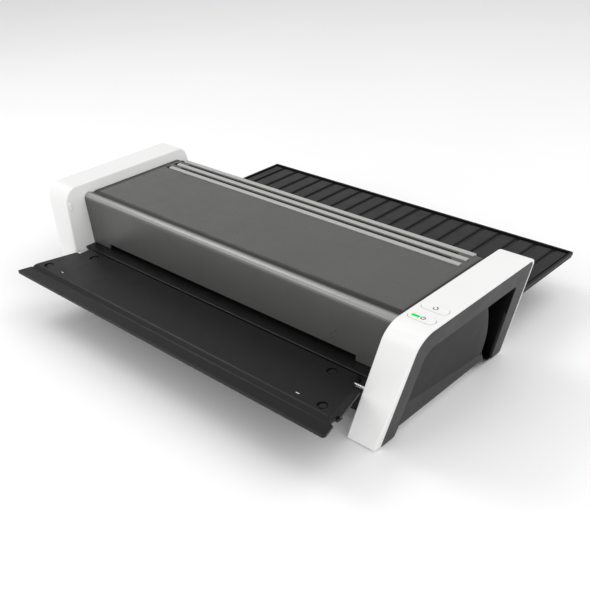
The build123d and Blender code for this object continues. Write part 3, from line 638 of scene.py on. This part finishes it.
# ---------------- dark side covers and hand grips
COVER_THICK = 2.5
COVER_CLEAR = 0.3           # between the side cover and the white band
RAIL_INSET = 14.0
RAIL_TAPER = 0.05
RAIL_FRONT = 11.0           # width of the frame's front rail
RAIL_CORNER = 11.0          # radius of the window's upper front corner
PANEL_DEPTH = 4.0
PANEL_FRONT = TOE + 38.9
DEPTH_LOSS = 0.014          # what the recess loses each millimetre to the rear
CREASE_HEIGHT = 30.5
CREASE_FALL = 0.094         # what the crease falls each millimetre to the rear
EDGE_RUN = 1.1              # width of the soft edge in front of the panel
EDGE_COLUMNS = 5
PANEL_COLUMNS = 13
GRIP_DEPTH = 20.0
GRIP_ROLL = 6.0             # the panel rolls into the grip with this radius
GRIP_FRONT_ROLL = 3.5
GRIP_REAR_ROLL = 3.0
GRIP_LIP = 0.5
LOBE_TOP = 9.0              # below this the grip closes in a half round
LOBE_HEIGHT = 4.5


def along(table, z):
    """Y at a height, from a table of (z, y)."""
    for (z0, y0), (z1, y1) in zip(table, table[1:]):
        if z <= z1:
            return y0 + (y1 - y0) * (z - z0) / (z1 - z0)
    return table[-1][1]


def grip_front(z):
    """Front edge of the grip, with its corners eased."""
    ease = min(6.0, 0.5 * z)
    return sum(along(GRIP_FRONT, z + ease * step / 3) for step in (-3, -2, -1, 0, 1, 2, 3)) / 7


def rail_line(z):
    """Rear edge of the frame's front rail, as a straight line."""
    return front_y(z) + RAIL_INSET - RAIL_TAPER * z + RAIL_FRONT


def rail_y(z):
    """The same edge with its upper corner rounded."""
    rise = z - (WINDOW_TOP - RAIL_CORNER)
    if rise <= 0:
        return rail_line(z)
    return rail_line(z) + RAIL_CORNER - sqrt(max(0.0, RAIL_CORNER ** 2 - rise ** 2))


def spread(low, high, fine_low, fine_high, count):
    """Heights from low to high, closer together at both ends."""
    start, end = low + fine_low[-1], high - fine_high[-1]
    between = [start + (end - start) * k / count for k in range(1, count)]
    return [low + f for f in fine_low] + between + [high - f for f in reversed(fine_high)]


def crease_z(y):
    """Height of the crease where the panel starts to come out towards the lower edge."""
    return CREASE_HEIGHT - CREASE_FALL * (y - PANEL_FRONT)


def panel_depth(y, z):
    """Depth of the recess. It is soft at the front and top, and fades out below the crease."""
    full_depth = PANEL_DEPTH - DEPTH_LOSS * (y - PANEL_FRONT)
    from_front = smooth((y - rail_y(z)) / EDGE_RUN)
    from_top = smooth((WINDOW_TOP - z) / 1.2)
    from_foot = clamp((z - ARCH - 1.0) / (crease_z(y) - ARCH - 1.0))
    return full_depth * from_front * from_top * from_foot + 0.02


cover_top = TOP - RIM - COVER_CLEAR
frame_points = [
    (front_y(FOOT) + WRAP_LOW + COVER_CLEAR, FOOT),
    (front_y(cover_top) + WRAP_HIGH + COVER_CLEAR, cover_top),
    (rear_y(cover_top) - RIM - COVER_CLEAR, cover_top),
    (rear_y(FOOT) - RIM - COVER_CLEAR, FOOT),
    (ARCH_REAR - 0.1, FOOT),
    (along(GRIP_REAR, WINDOW_TOP), WINDOW_TOP),
    (rail_line(WINDOW_TOP), WINDOW_TOP),
    (rail_y(ARCH), ARCH),
    (ARCH_FRONT + 1.7, ARCH),
    (ARCH_FRONT - 0.3, FOOT),
]
frame_radii = [1.5, 15.7, 7.7, 2.5, 1.2, 3.0, 11, 0.4, 2.5, 1.2]
PANEL_STEPS = [0, 0.5, 1, 2, 4, 6, 8, 10, 12, 14, 15.5, 16.2, 16.8, 17.5, 19, 21]
PANEL_TOP_STEPS = [0, 0.3, 0.6, 0.9, 1.2, 1.6, 2.2, 3, 4, 5.5, 7, 9, 11]
panel_heights = spread(ARCH, WINDOW_TOP, PANEL_STEPS, PANEL_TOP_STEPS, 12)
CREASE_ROW = ARCH + 16.5    # the row of the grid that follows the crease
GRIP_STEPS = [0, 0.15, 0.5, 1.0, 1.7, 2.5, 3.5, 4.7, 6, 8, 10.5, 14.5, 18]
grip_heights = spread(GRIP_FRONT[0][0], WINDOW_TOP, GRIP_STEPS, [0, 0.3, 0.8, 1.4], 16)


def panel_point(side, height, column):
    """A point of the panel's grid, whose rows lean with the crease, and less so away from it."""
    if height < CREASE_ROW:
        share = (height - ARCH) / (CREASE_ROW - ARCH)
    else:
        share = (WINDOW_TOP - height) / (WINDOW_TOP - CREASE_ROW)
    z = height
    for _ in range(3):
        front, back = rail_y(z), grip_front(z) + 0.4
        if column <= EDGE_COLUMNS:
            y = front + EDGE_RUN * column / EDGE_COLUMNS
        else:
            across = (column - EDGE_COLUMNS) / (PANEL_COLUMNS - EDGE_COLUMNS)
            y = front + EDGE_RUN + (back - front - EDGE_RUN) * across
        z = height + (crease_z(y) - CREASE_ROW) * share
    return side_point(side, y, z, panel_depth(y, z))


def grip_row(side, z):
    """A row of the grip's pocket, from its roll at the panel's end to its rear edge."""
    front, back = grip_front(z), along(GRIP_REAR, z) - 0.2
    roll = min(GRIP_ROLL, 0.42 * (back - front))
    start = panel_depth(front, z) if z > ARCH else 0.4
    section = [(front + roll * sin(a), start + roll * (1 - cos(a))) for a in quarter(8)]
    section += [(front + roll + GRIP_FRONT_ROLL * (1 - cos(a)), GRIP_DEPTH - GRIP_FRONT_ROLL * (1 - sin(a)))
                for a in quarter(5)[1:]]
    section += [(back - GRIP_REAR_ROLL * (1 - sin(a)), GRIP_DEPTH - GRIP_REAR_ROLL * (1 - cos(a)))
                for a in quarter(4)]
    section.append((back, GRIP_LIP))
    low_end = sqrt(max(0.0, 1 - max(0.0, (LOBE_TOP - z) / LOBE_HEIGHT) ** 2))
    lid = smooth((WINDOW_TOP - z) / 1.4)
    return [side_point(side, min(y, back), z, GRIP_LIP + (depth - GRIP_LIP) * low_end * lid)
            for y, depth in section]


for side_name, side in SIDES:
    outwards = Vector((side, 0, 0))
    shape = Shape()
    outline = rounded(frame_points, frame_radii, 10)
    shape.loft([[side_point(side, p.x, p.y, depth) for p in ring]
                for ring, depth in rolled(outline, 0.6, 0.0, COVER_THICK)])
    side_cover = f"{side_name}_side_cover"
    make(f"{side_name}_frame", shape, "chassis", "side_grey", (side_cover,), angle=40)

    # the recessed panel fades out into the lower edge. Above the crease it is painted near-black as painted
    # shade in the recess; below it, where the slope turns up to the light, it keeps the side cover's grey
    shape = Shape()
    shape.grid([[panel_point(side, height, column) for column in range(PANEL_COLUMNS + 1)]
                for height in panel_heights])
    panel = make(f"{side_name}_panel", shape, "chassis", "side_panel_painted_shade", (side_cover,), angle=50,
                 solidify=1.4, facing=outwards)
    # below the crease the panel is painted in the side cover's lighter grey, the lit copy of the same plastic
    paint(panel, "side_grey", lambda middle, normal: middle.z < crease_z(middle.y))

    # the grip's black pocket, which has a round lower end. Its roll at the panel's end takes the same
    # near-black, painted shade where the grey panel turns into the pocket
    shape = Shape()
    shape.grid([grip_row(side, z) for z in grip_heights])
    make(f"{side_name}_grip", shape, "chassis", "grip_black", (f"{side_name}_grip_liner",),
         angle=50, solidify=1.2, facing=outwards)

# ---------------- top cover
cover_low, cover_high = box("top_cover")
COVER_FRONT = cover_low.y
COVER_REAR = cover_high.y
COVER_TOP = cover_high.z
COVER_FOOT = cover_low.z
COVER_GAP = 0.6
COVER_WALL = 2.2
MOUTH_HALF = 166.0
MOUTH_TOP = 58.8
BORDER = 8.5                # sunk strip beside each casing, which also gets painted shade
EDGE_ROUND = 7.0
PAINTED_HIGHLIGHT_EDGE = 0.6             # how far the painted highlight on the bead reaches forward, and its softer painted edge again
PAINTED_HIGHLIGHT_BACK = 2.0             # width of the softer painted highlight behind the bright painted band
PANEL_DROP = 1.0            # the flat lies this far below the top, less what the middle panel adds
TAIL = 4.0                  # radius of the rear edge
FRONT_STEPS = 8
ROUND_STEPS = 12


def cover_profile():
    """The outside from the lower front edge to the lower rear edge: (y, z, rise), where rise is what the
    raised middle panel adds."""
    lean = 4.2 / (COVER_TOP - COVER_FOOT)
    start_z = COVER_FOOT + 0.8
    points = [(COVER_FRONT + 0.7, COVER_FOOT, 0), (COVER_FRONT + 0.2, COVER_FOOT + 0.2, 0),
              (COVER_FRONT + 0.1, start_z, 0)]
    for k in range(1, FRONT_STEPS + 1):
        z = start_z + (COVER_TOP - EDGE_ROUND - start_z) * k / FRONT_STEPS
        points.append((COVER_FRONT + lean * (z - COVER_FOOT), z, 0))
    centre = (points[-1][0] + EDGE_ROUND, COVER_TOP - EDGE_ROUND)
    for k in range(1, ROUND_STEPS + 1):
        angle = radians(177 - 84 * k / ROUND_STEPS)
        points.append((centre[0] + EDGE_ROUND * cos(angle), centre[1] + EDGE_ROUND * sin(angle), 0))
    start_y = points[-1][0]
    groove = [(0.5, -0.05, 0), (1.0, -0.2, 0), (1.5, -0.5, 0), (2.0, -0.9, 0), (2.5, -1.25, 0),
              (3.1, -1.5, 0), (4.0, -1.6, 0), (6.2, -1.6, 0), (7.1, -1.5, 0.05), (7.9, -1.25, 0.3),
              (8.7, -1.05, 0.7), (9.6, -PANEL_DROP, 0.93), (10.6, -PANEL_DROP, 1.0)]
    points += [(start_y + y, COVER_TOP + z, rise) for y, z, rise in groove]
    flat = points[-1][0]
    tail = COVER_REAR - TAIL
    points += [(flat + (tail - flat) * k / 14, COVER_TOP - PANEL_DROP, 1.0) for k in range(1, 15)]
    for k, angle in enumerate(quarter(6)[1:], 1):
        points.append((tail + TAIL * sin(angle), COVER_TOP - PANEL_DROP - TAIL * (1 - cos(angle)), 1 - k / 6))
    points += [(COVER_REAR, 80, 0), (COVER_REAR - 0.4, MOUTH_TOP + 1.2, 0)]
    return points


profile = cover_profile()
ROUND_START = 3 + FRONT_STEPS               # the profile's first point on its front rounding
GROOVE_START = ROUND_START + ROUND_STEPS    # and in the groove
bead_start = profile[ROUND_START + 4][0]
groove_start = profile[GROOVE_START][0] + 0.6
panel_start = profile[GROOVE_START][0] + 8.6
half_span = inner_x(COVER_TOP) - COVER_GAP
END_STEPS = [0, 0.4, 0.9, 1.6, 2.6, 4, 5.5, 7, 7.6, 8.2, 8.8, 9.4, 10.0, 11, 13]


def cover_row(share):
    """Outer and inner points of the cover at a share of its half span."""
    distance = half_span * (1 - abs(share))
    panel_share = smooth((distance - BORDER + 1.5) / 3.0)
    edge = 0.5 * (1 - smooth(distance))
    outer, inner = [], []
    for i, (y, z, rise) in enumerate(profile):
        height = z + rise * panel_share - edge * clamp((z - 90) / 10)
        before, after = profile[max(i - 1, 0)], profile[min(i + 1, len(profile) - 1)]
        tangent = Vector((after[0] - before[0], after[1] - before[1])).normalized()
        across = share * (inner_x(height) - COVER_GAP)
        outer.append((across, y, height))
        inner.append((across, y + tangent.y * COVER_WALL, height - tangent.x * COVER_WALL))
    return outer, inner


def cover_shape():
    ends = [(half_span - step) / half_span for step in END_STEPS]
    shares = [-share for share in ends] + [-0.85 + 1.7 * k / 20 for k in range(21)] + ends[::-1]
    outer, inner = zip(*[cover_row(share) for share in shares])
    shape = Shape()
    top_rings = shape.grid(outer)
    low_rings = shape.grid(inner)
    for end in (0, -1):
        shape.bridge(top_rings[end], low_rings[end], closed=False)
        shape.bridge([r[end] for r in top_rings], [r[end] for r in low_rings], closed=False)
    return shape


cover = make("cover", cover_shape(), "chassis", "anthracite_cover", ("top_cover",),
             angle=50)

BAR_NAMES = ("front", "middle", "rear")
bars = [box(f"vent_bar_{name}") for name in BAR_NAMES]
bar_middles = [mid(low.y, high.y) for low, high in bars]
bar_end = bars[0][0].x      # the three start at the same place
VENT_LENGTH, VENT_WIDTH = 357.0, 2.6
NOTCH_LENGTH, NOTCH_HALF, NOTCH_DEPTH = 5.2, 2.9, 1.9
vents = [pill(0, mid(a, b), VENT_LENGTH, VENT_WIDTH, COVER_TOP - 8, COVER_TOP + 4)
         for a, b in zip(bar_middles, bar_middles[1:])]
mouth = brick(-MOUTH_HALF, MOUTH_HALF, COVER_FRONT - 5, COVER_FRONT + 12, COVER_FOOT - 5, MOUTH_TOP)
notches = [brick(bar_end - NOTCH_LENGTH, bar_end + 0.4, y - NOTCH_HALF, y + NOTCH_HALF,
                 COVER_TOP - NOTCH_DEPTH, COVER_TOP + 3) for y in bar_middles]
combine(cover, vents + [mouth] + notches, merge_flat=False)


# floors of the notches at the bars' ends, which get painted shade
def in_notch_painted_shade(middle, normal):
    across = bar_end - NOTCH_LENGTH - 0.1 < middle.x < bar_end + 0.5
    beside = any(abs(middle.y - y) < NOTCH_HALF + 0.1 for y in bar_middles)
    return across and beside and middle.z < COVER_TOP - 0.3


# faces of the groove and of the strips beside the casings, which get painted shade
def in_painted_shade_strips(middle, normal):
    if normal.z < 0.4 or middle.z < COVER_TOP - 3:
        return False
    beside = inner_x(COVER_TOP) - COVER_GAP - abs(middle.x) < BORDER and middle.y > groove_start
    return beside or groove_start < middle.y < panel_start


# faces on the bead's crest, which get the bright painted highlight
def on_painted_highlight(middle, normal):
    on_arc = bead_start - PAINTED_HIGHLIGHT_EDGE < middle.y < groove_start - PAINTED_HIGHLIGHT_BACK
    return normal.z > 0.4 and middle.z > COVER_TOP - 5 and on_arc


# faces in front of and behind it, which get a softer painted highlight
def on_painted_highlight_edge(middle, normal):
    before = bead_start - 2 * PAINTED_HIGHLIGHT_EDGE < middle.y < bead_start - PAINTED_HIGHLIGHT_EDGE
    behind = groove_start - PAINTED_HIGHLIGHT_BACK < middle.y < groove_start
    return normal.z > 0.2 and middle.z > COVER_TOP - 6 and (before or behind)


# the groove and the strips beside the casings are painted darker: painted shade from the casings and in the
# groove
paint(cover, "cover_painted_shade", in_painted_shade_strips)
# the bead carries a painted highlight: a bright band with a softer band on either side
paint(cover, "cover_bead_painted_highlight", on_painted_highlight)
paint(cover, "bead_painted_highlight_edge", on_painted_highlight_edge)
# the notch floors take the grip's near-black: painted shade in the shallow notches
paint(cover, "grip_black", in_notch_painted_shade)

# ---------------- silver vent bars
BAR_FOOT, BAR_WALL = -1.2, 0.25
for (low, high), y, name in zip(bars, bar_middles, BAR_NAMES):
    half = (high.y - low.y) / 2
    rise = high.z - low.z
    section = [(half, BAR_FOOT), (half, BAR_WALL)]
    for k in range(1, 14):
        angle = pi * k / 14
        section.append((half * cos(angle), BAR_WALL + (rise - BAR_WALL) * sin(angle) ** 0.6))
    section += [(-half, BAR_WALL), (-half, BAR_FOOT)]
    # the ends are eased by shrinking the section
    ends = [(low.x, 0.72), (low.x + 0.3, 0.9), (low.x + 0.8, 0.99), (low.x + 1.5, 1.0), (high.x - 0.5, 1.0),
            (high.x - 0.15, 0.98), (high.x, 0.92)]
    shape = Shape()
    shape.loft([[(x, y + sy * size, low.z + sz * size) for sy, sz in section] for x, size in ends])
    make(f"vent_strip_{name}", shape, "chassis", "silver_trim", (f"vent_bar_{name}",),
         angle=50)

# ---------------- keys, light and symbols
KEY_ROLL = 0.45
INK_WIDTH = 0.62
INK_DEPTH = 0.06            # a symbol's face lies this far below the key's highest point


def key_cap(key):
    """A pill-shaped key with a rolled upper edge and a slightly dished face, on its skirt."""
    low, high = key_boxes[key]
    rings = [(0, low.z + 3), (0, high.z - KEY_ROLL)]
    rings += [(KEY_ROLL * (1 - cos(a)), high.z - KEY_ROLL * (1 - sin(a))) for a in quarter(4)[1:]]
    rings += [(1.4, high.z - 0.05), (2.6, high.z - 0.12), (3.9, high.z - 0.15)]
    return lozenge(*key_size(key), rings, 14)


def lozenge(x, y, length, width, rings, steps):
    """A solid with round ends, from (shrink, height) pairs."""
    shape = Shape()
    shape.loft([[(px, py, z) for px, py in round_ended(x, y, length, width, shrink, steps)]
                for shrink, z in rings])
    return shape


def stroke(points, width, z, thick=0.12):
    """A flat printed line that follows the points."""
    shape = Shape()
    left, right = [], []
    for i, p in enumerate(points):
        direction = (Vector(points[min(i + 1, len(points) - 1)]) - Vector(points[max(i - 1, 0)])).normalized()
        across = Vector((-direction.y, direction.x)) * width / 2
        left.append(Vector(p) + across)
        right.append(Vector(p) - across)
    for i in range(len(points) - 1):
        corners = [left[i], left[i + 1], right[i + 1], right[i]]
        rings = [shape.loop([(c.x, c.y, h) for c in corners]) for h in (z - thick, z)]
        shape.bridge(*rings)
        shape.faces += [tuple(rings[0]), tuple(rings[1])]
    return shape


def arc(x, y, radius, start, end, steps=20):
    """Points along part of a circle, from one angle to another in degrees."""
    turns = [radians(start + (end - start) * k / steps) for k in range(steps + 1)]
    return [(x + radius * cos(a), y + radius * sin(a)) for a in turns]


def join(shapes):
    """One shape that holds several."""
    whole = Shape()
    for part in shapes:
        start = len(whole.verts)
        whole.verts += part.verts
        whole.faces += [tuple(i + start for i in f) for f in part.faces]
    return whole


light_low, light_high = box("power_light")
light_top = light_high.z
light_size = (mid(light_low.x, light_high.x), mid(light_low.y, light_high.y), light_high.x - light_low.x,
              light_high.y - light_low.y)
for key in key_boxes:
    x, y, length, width = key_size(key)
    z = key_boxes[key][1].z
    cap = make(f"{key}_cap", key_cap(key), f"{key}_key", "key_white", (f"{key}_key",), angle=40)
    if key == "power":
        combine(cap, [pill(*light_size, z - 1.2, z + 2, 10)])
        lines = [arc(x + 1.2, y, 1.75, 115, 425), [(x + 1.2, y + 0.4), (x + 1.2, y + 2.3)]]
    else:
        head = [(x + 0.9, y + 2.8), (x + 0.15, y + 1.9), (x + 1.2, y + 1.1)]
        lines = [arc(x + 0.3, y, 1.9, 150, 440), head]
    marks = [stroke(line, INK_WIDTH, z - INK_DEPTH) for line in lines]
    make(f"{key}_symbol", join(marks), f"{key}_key", "symbol_ink")

lens_rings = [(0.02, light_top - 1.1), (0.02, light_top - 0.25), (0.14, light_top - 0.1),
              (0.42, light_top - 0.02), (0.92, light_top)]
make("light_lens", lozenge(*light_size, lens_rings, 10), "power_key", "light_green", ("power_light",),
     angle=50)

# ---------------- exit tray
lid_low, lid_high = box("exit_tray")
LID_HALF = lid_high.x
LID_TIP = lid_high.y
LID_ROOT = TOE + 185.5
LID_FRONT = TOE + 179.5
PLATE_TOP = lid_low.z + 2.2
BAND_TOP = lid_low.z + 3.6  # top of the flat bands between the grooves
LID_RIM = lid_low.z + 5.0
ARM_IN, ARM_OUT = 179.0, 187.0
BAND_PITCH, BAND_COUNT, GROOVE = 21.0, 18, 3.4
BAND_HALF = (BAND_PITCH - GROOVE) / 2
LID_WALL = 2.2              # thickness of the raised rim


def slab(outline, z0, z1, roll, steps=3):
    """A flat plate with rolled upper edges."""
    shape = Shape()
    rings = [[(p.x, p.y, z0) for p in outline]]
    for angle in quarter(steps):
        z = z1 - roll + roll * sin(angle)
        rings.append([(p.x, p.y, z) for p in inset(outline, roll * (1 - cos(angle)))])
    shape.loft(rings)
    return shape


def box_outline(x0, x1, y0, y1, radius, steps=4):
    return rounded([(x0, y0), (x1, y0), (x1, y1), (x0, y1)], [radius] * 4, steps)


parts = [slab(box_outline(-LID_HALF, LID_HALF, LID_ROOT, LID_TIP, 4.0, 6), lid_low.z, PLATE_TOP, 0.5),
         slab(box_outline(-ARM_OUT, ARM_OUT, LID_FRONT, LID_ROOT + 3, 1.0), lid_low.z, PLATE_TOP - 0.05, 0.4)]
band_front, band_back = LID_ROOT + 5, LID_TIP - 5
for k in range(BAND_COUNT):
    x = (k - (BAND_COUNT - 1) / 2) * BAND_PITCH
    outline = box_outline(x - BAND_HALF, x + BAND_HALF, band_front, band_back, 0.8)
    parts.append(slab(outline, PLATE_TOP - 0.3, BAND_TOP, 1.3, 5))
for sx in (-1, 1):
    x = sx * (LID_HALF - 9.8)
    outline = box_outline(x - 5.5, x + 5.5, band_front, band_back, 0.8)
    parts.append(slab(outline, PLATE_TOP - 0.3, BAND_TOP, 0.7, 4))
    rim_span = sorted((sx * (LID_HALF - LID_WALL), sx * LID_HALF))
    outline = box_outline(*rim_span, LID_ROOT, LID_TIP - 1.0, 0.9)
    parts.append(slab(outline, PLATE_TOP - 0.8, LID_RIM, 0.9, 4))
outline = box_outline(-LID_HALF, LID_HALF, LID_TIP - LID_WALL, LID_TIP, 1.05)
parts.append(slab(outline, PLATE_TOP - 0.8, LID_RIM, 0.9, 4))
make("exit_plate", join(parts), "exit_tray", "black_plastic", ("exit_tray",), angle=40)

# the two arms that carry the tray round its hinge
ARM_R = 5.5
hinge_y, hinge_z = lid_hinge
arm_side = [(hinge_y - ARM_R, lid_low.z), (LID_ROOT + 6, lid_low.z), (LID_ROOT + 6, LID_RIM),
            (hinge_y + ARM_R + 1.5, LID_RIM + 1), (hinge_y + ARM_R, LID_RIM + 8)]
arm_side = [Vector(p) for p in arm_side + arc(hinge_y, hinge_z, ARM_R, 0, 180, 16)]
arm_steps = [(ARM_IN, 0.6), (ARM_IN + 0.15, 0.25), (ARM_IN + 0.6, 0.0), (ARM_OUT - 0.6, 0.0),
             (ARM_OUT - 0.15, 0.25), (ARM_OUT, 0.6)]
for side_name, side in SIDES:
    shape = Shape()
    shape.loft([[(side * x, p.x, p.y) for p in inset(arm_side, shrink)] for x, shrink in arm_steps])
    arm = make(f"exit_arm_{side_name}", shape, "exit_tray", "black_plastic", ("exit_tray",),
               angle=40)
    combine(arm, [prism(disc(*lid_hinge, 1.8), lambda y, z: (side * (ARM_IN - 1), y, z),
                        lambda y, z: (side * (ARM_OUT + 1), y, z))])

# ---------------- front tray
tray_low, tray_high = box("front_tray")
TRAY_TIP = tray_low.y
TRAY_BACK = tray_high.y
TRAY_SKIN = tray_low.z + 2.7
TRAY_DECK = tray_high.z
TRAY_LIP = 12.5
TRAY_ROOT = TOE + 4.5
HINGE_HALF = 183.5
TRAY_EDGE = 0.5             # roll of the tray's own edge
DIMPLE = 9.2                # across a dimple
BOSS = 3.2                  # radius of the boss in it
CLEAT = 4.0                 # how far a cleat reaches in under the tray


def tray_half(y, shrink=0.0):
    return tray_high.x - INNER_FLARE * (y - TRAY_TIP) - shrink


def tray_ring(y_tip, shrink, radius):
    """Plan of the tray: tapered towards the root, then narrower between the hinge pins."""
    hinge_half, root, back = [edge - shrink / 3 for edge in (HINGE_HALF, TRAY_ROOT, TRAY_BACK)]
    right = [(tray_half(y_tip, shrink), y_tip), (tray_half(TRAY_ROOT, shrink), root), (hinge_half, root),
             (hinge_half, back)]
    points = right + [(-x, y) for x, y in reversed(right)]
    return rounded(points, [radius] + [1.0] * 6 + [radius], 6)


base = Shape()
tray_plan = tray_ring(TRAY_TIP, 0, 3.0)
base_rings = [(a, tray_low.z + TRAY_EDGE * (1 - sin(a))) for a in (pi / 2, pi / 4, 0)]
base_rings += [(a, TRAY_SKIN - TRAY_EDGE * (1 - sin(a))) for a in (0, pi / 4, pi / 2)]
base.loft([[(p.x, p.y, z) for p in inset(tray_plan, TRAY_EDGE * (1 - cos(a)))] for a, z in base_rings])
# the raised deck, with a broad slope at the front and down its sides
deck = Shape()
RISE = TRAY_DECK - TRAY_SKIN
deck_steps = [(0.0, -0.4), (0.0, 0.05), (0.5, 0.25), (1.0, 0.65), (4.2, RISE - 0.7), (4.7, RISE - 0.4),
              (5.2, RISE - 0.18), (5.8, RISE - 0.05), (6.5, RISE)]
deck.loft([[(p.x, p.y, TRAY_SKIN + up) for p in tray_ring(TRAY_TIP + TRAY_LIP + step, 0.7 + step * 0.85, 1.5)]
           for step, up in deck_steps])
rim_half = tray_half(TRAY_TIP) - 2.2
front_rim = slab(box_outline(-rim_half, rim_half, TRAY_TIP + 0.1, TRAY_TIP + 1.5, 0.5), TRAY_SKIN - 0.4,
                 TRAY_SKIN + 0.9, 0.5)
tray = make("tray_base", base, "front_tray", "black_plastic", ("front_tray",), angle=40)
tray_deck = make("tray_deck", deck, "front_tray", "black_plastic", ("front_tray",), angle=40)
dimple_places = [(sx * x, y) for sx in (-1, 1) for x, y in ((185.0, TOE - 32), (161.0, TOE + 7))]
dimples = [pill(x, y, DIMPLE, DIMPLE, TRAY_DECK - 1.6, TRAY_DECK + 2, 14) for x, y in dimple_places]
catch_y = tray_hinge[0] - CATCH_REACH
notch_in, notch_out = tray_half(catch_y) - 3.3, tray_half(catch_y) + 6
notches = [brick(*sorted((sx * notch_in, sx * notch_out)), catch_y - 5.5, catch_y + 5.5, tray_low.z - 2,
                 TRAY_DECK + 2) for sx in (-1, 1)]
combine(tray_deck, dimples + notches)
combine(tray, [front_rim], "UNION")
combine(tray, notches)
# each dimple holds a sunk boss, set off to one side so that the gap round it is a crescent
bosses = []
for x, y in dimple_places:
    outline = [Vector(p) for p in disc(x + 0.6, y + 0.6, BOSS, 28)]
    bosses.append(slab(outline, TRAY_DECK - 1.8, TRAY_DECK - 0.35, 0.4))
make("tray_bosses", join(bosses), "front_tray", "black_plastic")
# size ticks, plain dashes
tick_outlines = [box_outline(x - 1.8, x + 1.8, TOE - 32.9, TOE - 31.9, 0.3) for x in (-160.0, 160.0)]
ticks = [slab(outline, TRAY_DECK - 0.1, TRAY_DECK + 0.04, 0.02) for outline in tick_outlines]
make("tray_ticks", join(ticks), "front_tray", "mark_ink")
# cleats under the side edges, which snap past the catch tabs
cleats = []
for sx in (-1, 1):
    for y, long in ((TOE - 12, 4.0), (TOE - 30, 6.0)):
        x = tray_half(y) - 0.4
        outline = box_outline(*sorted((sx * (x - CLEAT), sx * x)), y - long / 2, y + long / 2, 0.8)
        cleats.append(slab(outline, tray_low.z - 1.6, tray_low.z + 1.0, 0.3))
make("tray_cleats", join(cleats), "front_tray", "black_plastic")

# ---------------- floor, lights, camera
floor_mesh = bpy.data.meshes.new("floor")
floor_mesh.from_pydata([(-4, -4, 0), (4, -4, 0), (4, 4, 0), (-4, 4, 0)], [], [(0, 1, 2, 3)])
floor = bpy.data.objects.new("floor", floor_mesh)
link(floor)
floor_material, floor_tree, floor_shader = new_material("studio_floor")
socket_value(floor_shader, "Roughness", 0.85)
floor_tree.links.new(
    ramp(floor_tree, noise(floor_tree, 3.0), 0.3, 0.7, (0.955, 0.955, 0.955), (0.975, 0.975, 0.975)),
    floor_shader.inputs["Base Color"])
floor_mesh.materials.append(floor_material)


def soft_light(name, place, aim, width, height, power):
    lamp = bpy.data.lights.new(name, "AREA")
    lamp.shape = "RECTANGLE"
    lamp.size = width
    lamp.size_y = height
    lamp.energy = power
    lamp_object = bpy.data.objects.new(name, lamp)
    lamp_object.location = place
    direction = Vector(aim) - Vector(place)
    lamp_object.rotation_euler = direction.to_track_quat("-Z", "Y").to_euler()
    link(lamp_object)


soft_light("top_box", (0.9, 0.5, 1.6), (0.3, 0.1, 0), 1.6, 1.4, 10.5)
soft_light("key_box", (-1.0, -0.25, 1.25), (0, 0, 0.05), 0.6, 0.6, 5)
soft_light("front_box", (-0.3, -2.0, 0.8), (0, 0, 0.06), 2.2, 1.2, 11)
soft_light("right_box", (1.5, -0.7, 0.8), (0, 0, 0.05), 1.0, 1.2, 4)

world = bpy.data.worlds.new("studio")
world.use_nodes = True
background = world.node_tree.nodes["Background"]
socket_value(background, "Color", (1, 1, 1, 1))
socket_value(background, "Strength", 0.64)
bpy.context.scene.world = world
bpy.context.scene.view_settings.view_transform = "Standard"

# the photograph's viewing angle
CAMERA_PLACE = Vector((0.53741, -0.55572, 0.44623))
CAMERA_RIGHT = Vector((0.7336, 0.6784, -0.0403))
CAMERA_UP = Vector((-0.3080, 0.3847, 0.8701))
camera_data = bpy.data.cameras.new("camera")
camera_data.lens = 52.3
camera_data.sensor_width = 36
camera = bpy.data.objects.new("camera", camera_data)
backwards = CAMERA_RIGHT.cross(CAMERA_UP).normalized()
turn = Matrix((CAMERA_RIGHT, backwards.cross(CAMERA_RIGHT).normalized(), backwards)).transposed()
camera.matrix_world = Matrix.Translation(CAMERA_PLACE) @ turn.to_4x4()
link(camera)
bpy.context.scene.camera = camera

bpy.context.view_layer.update()
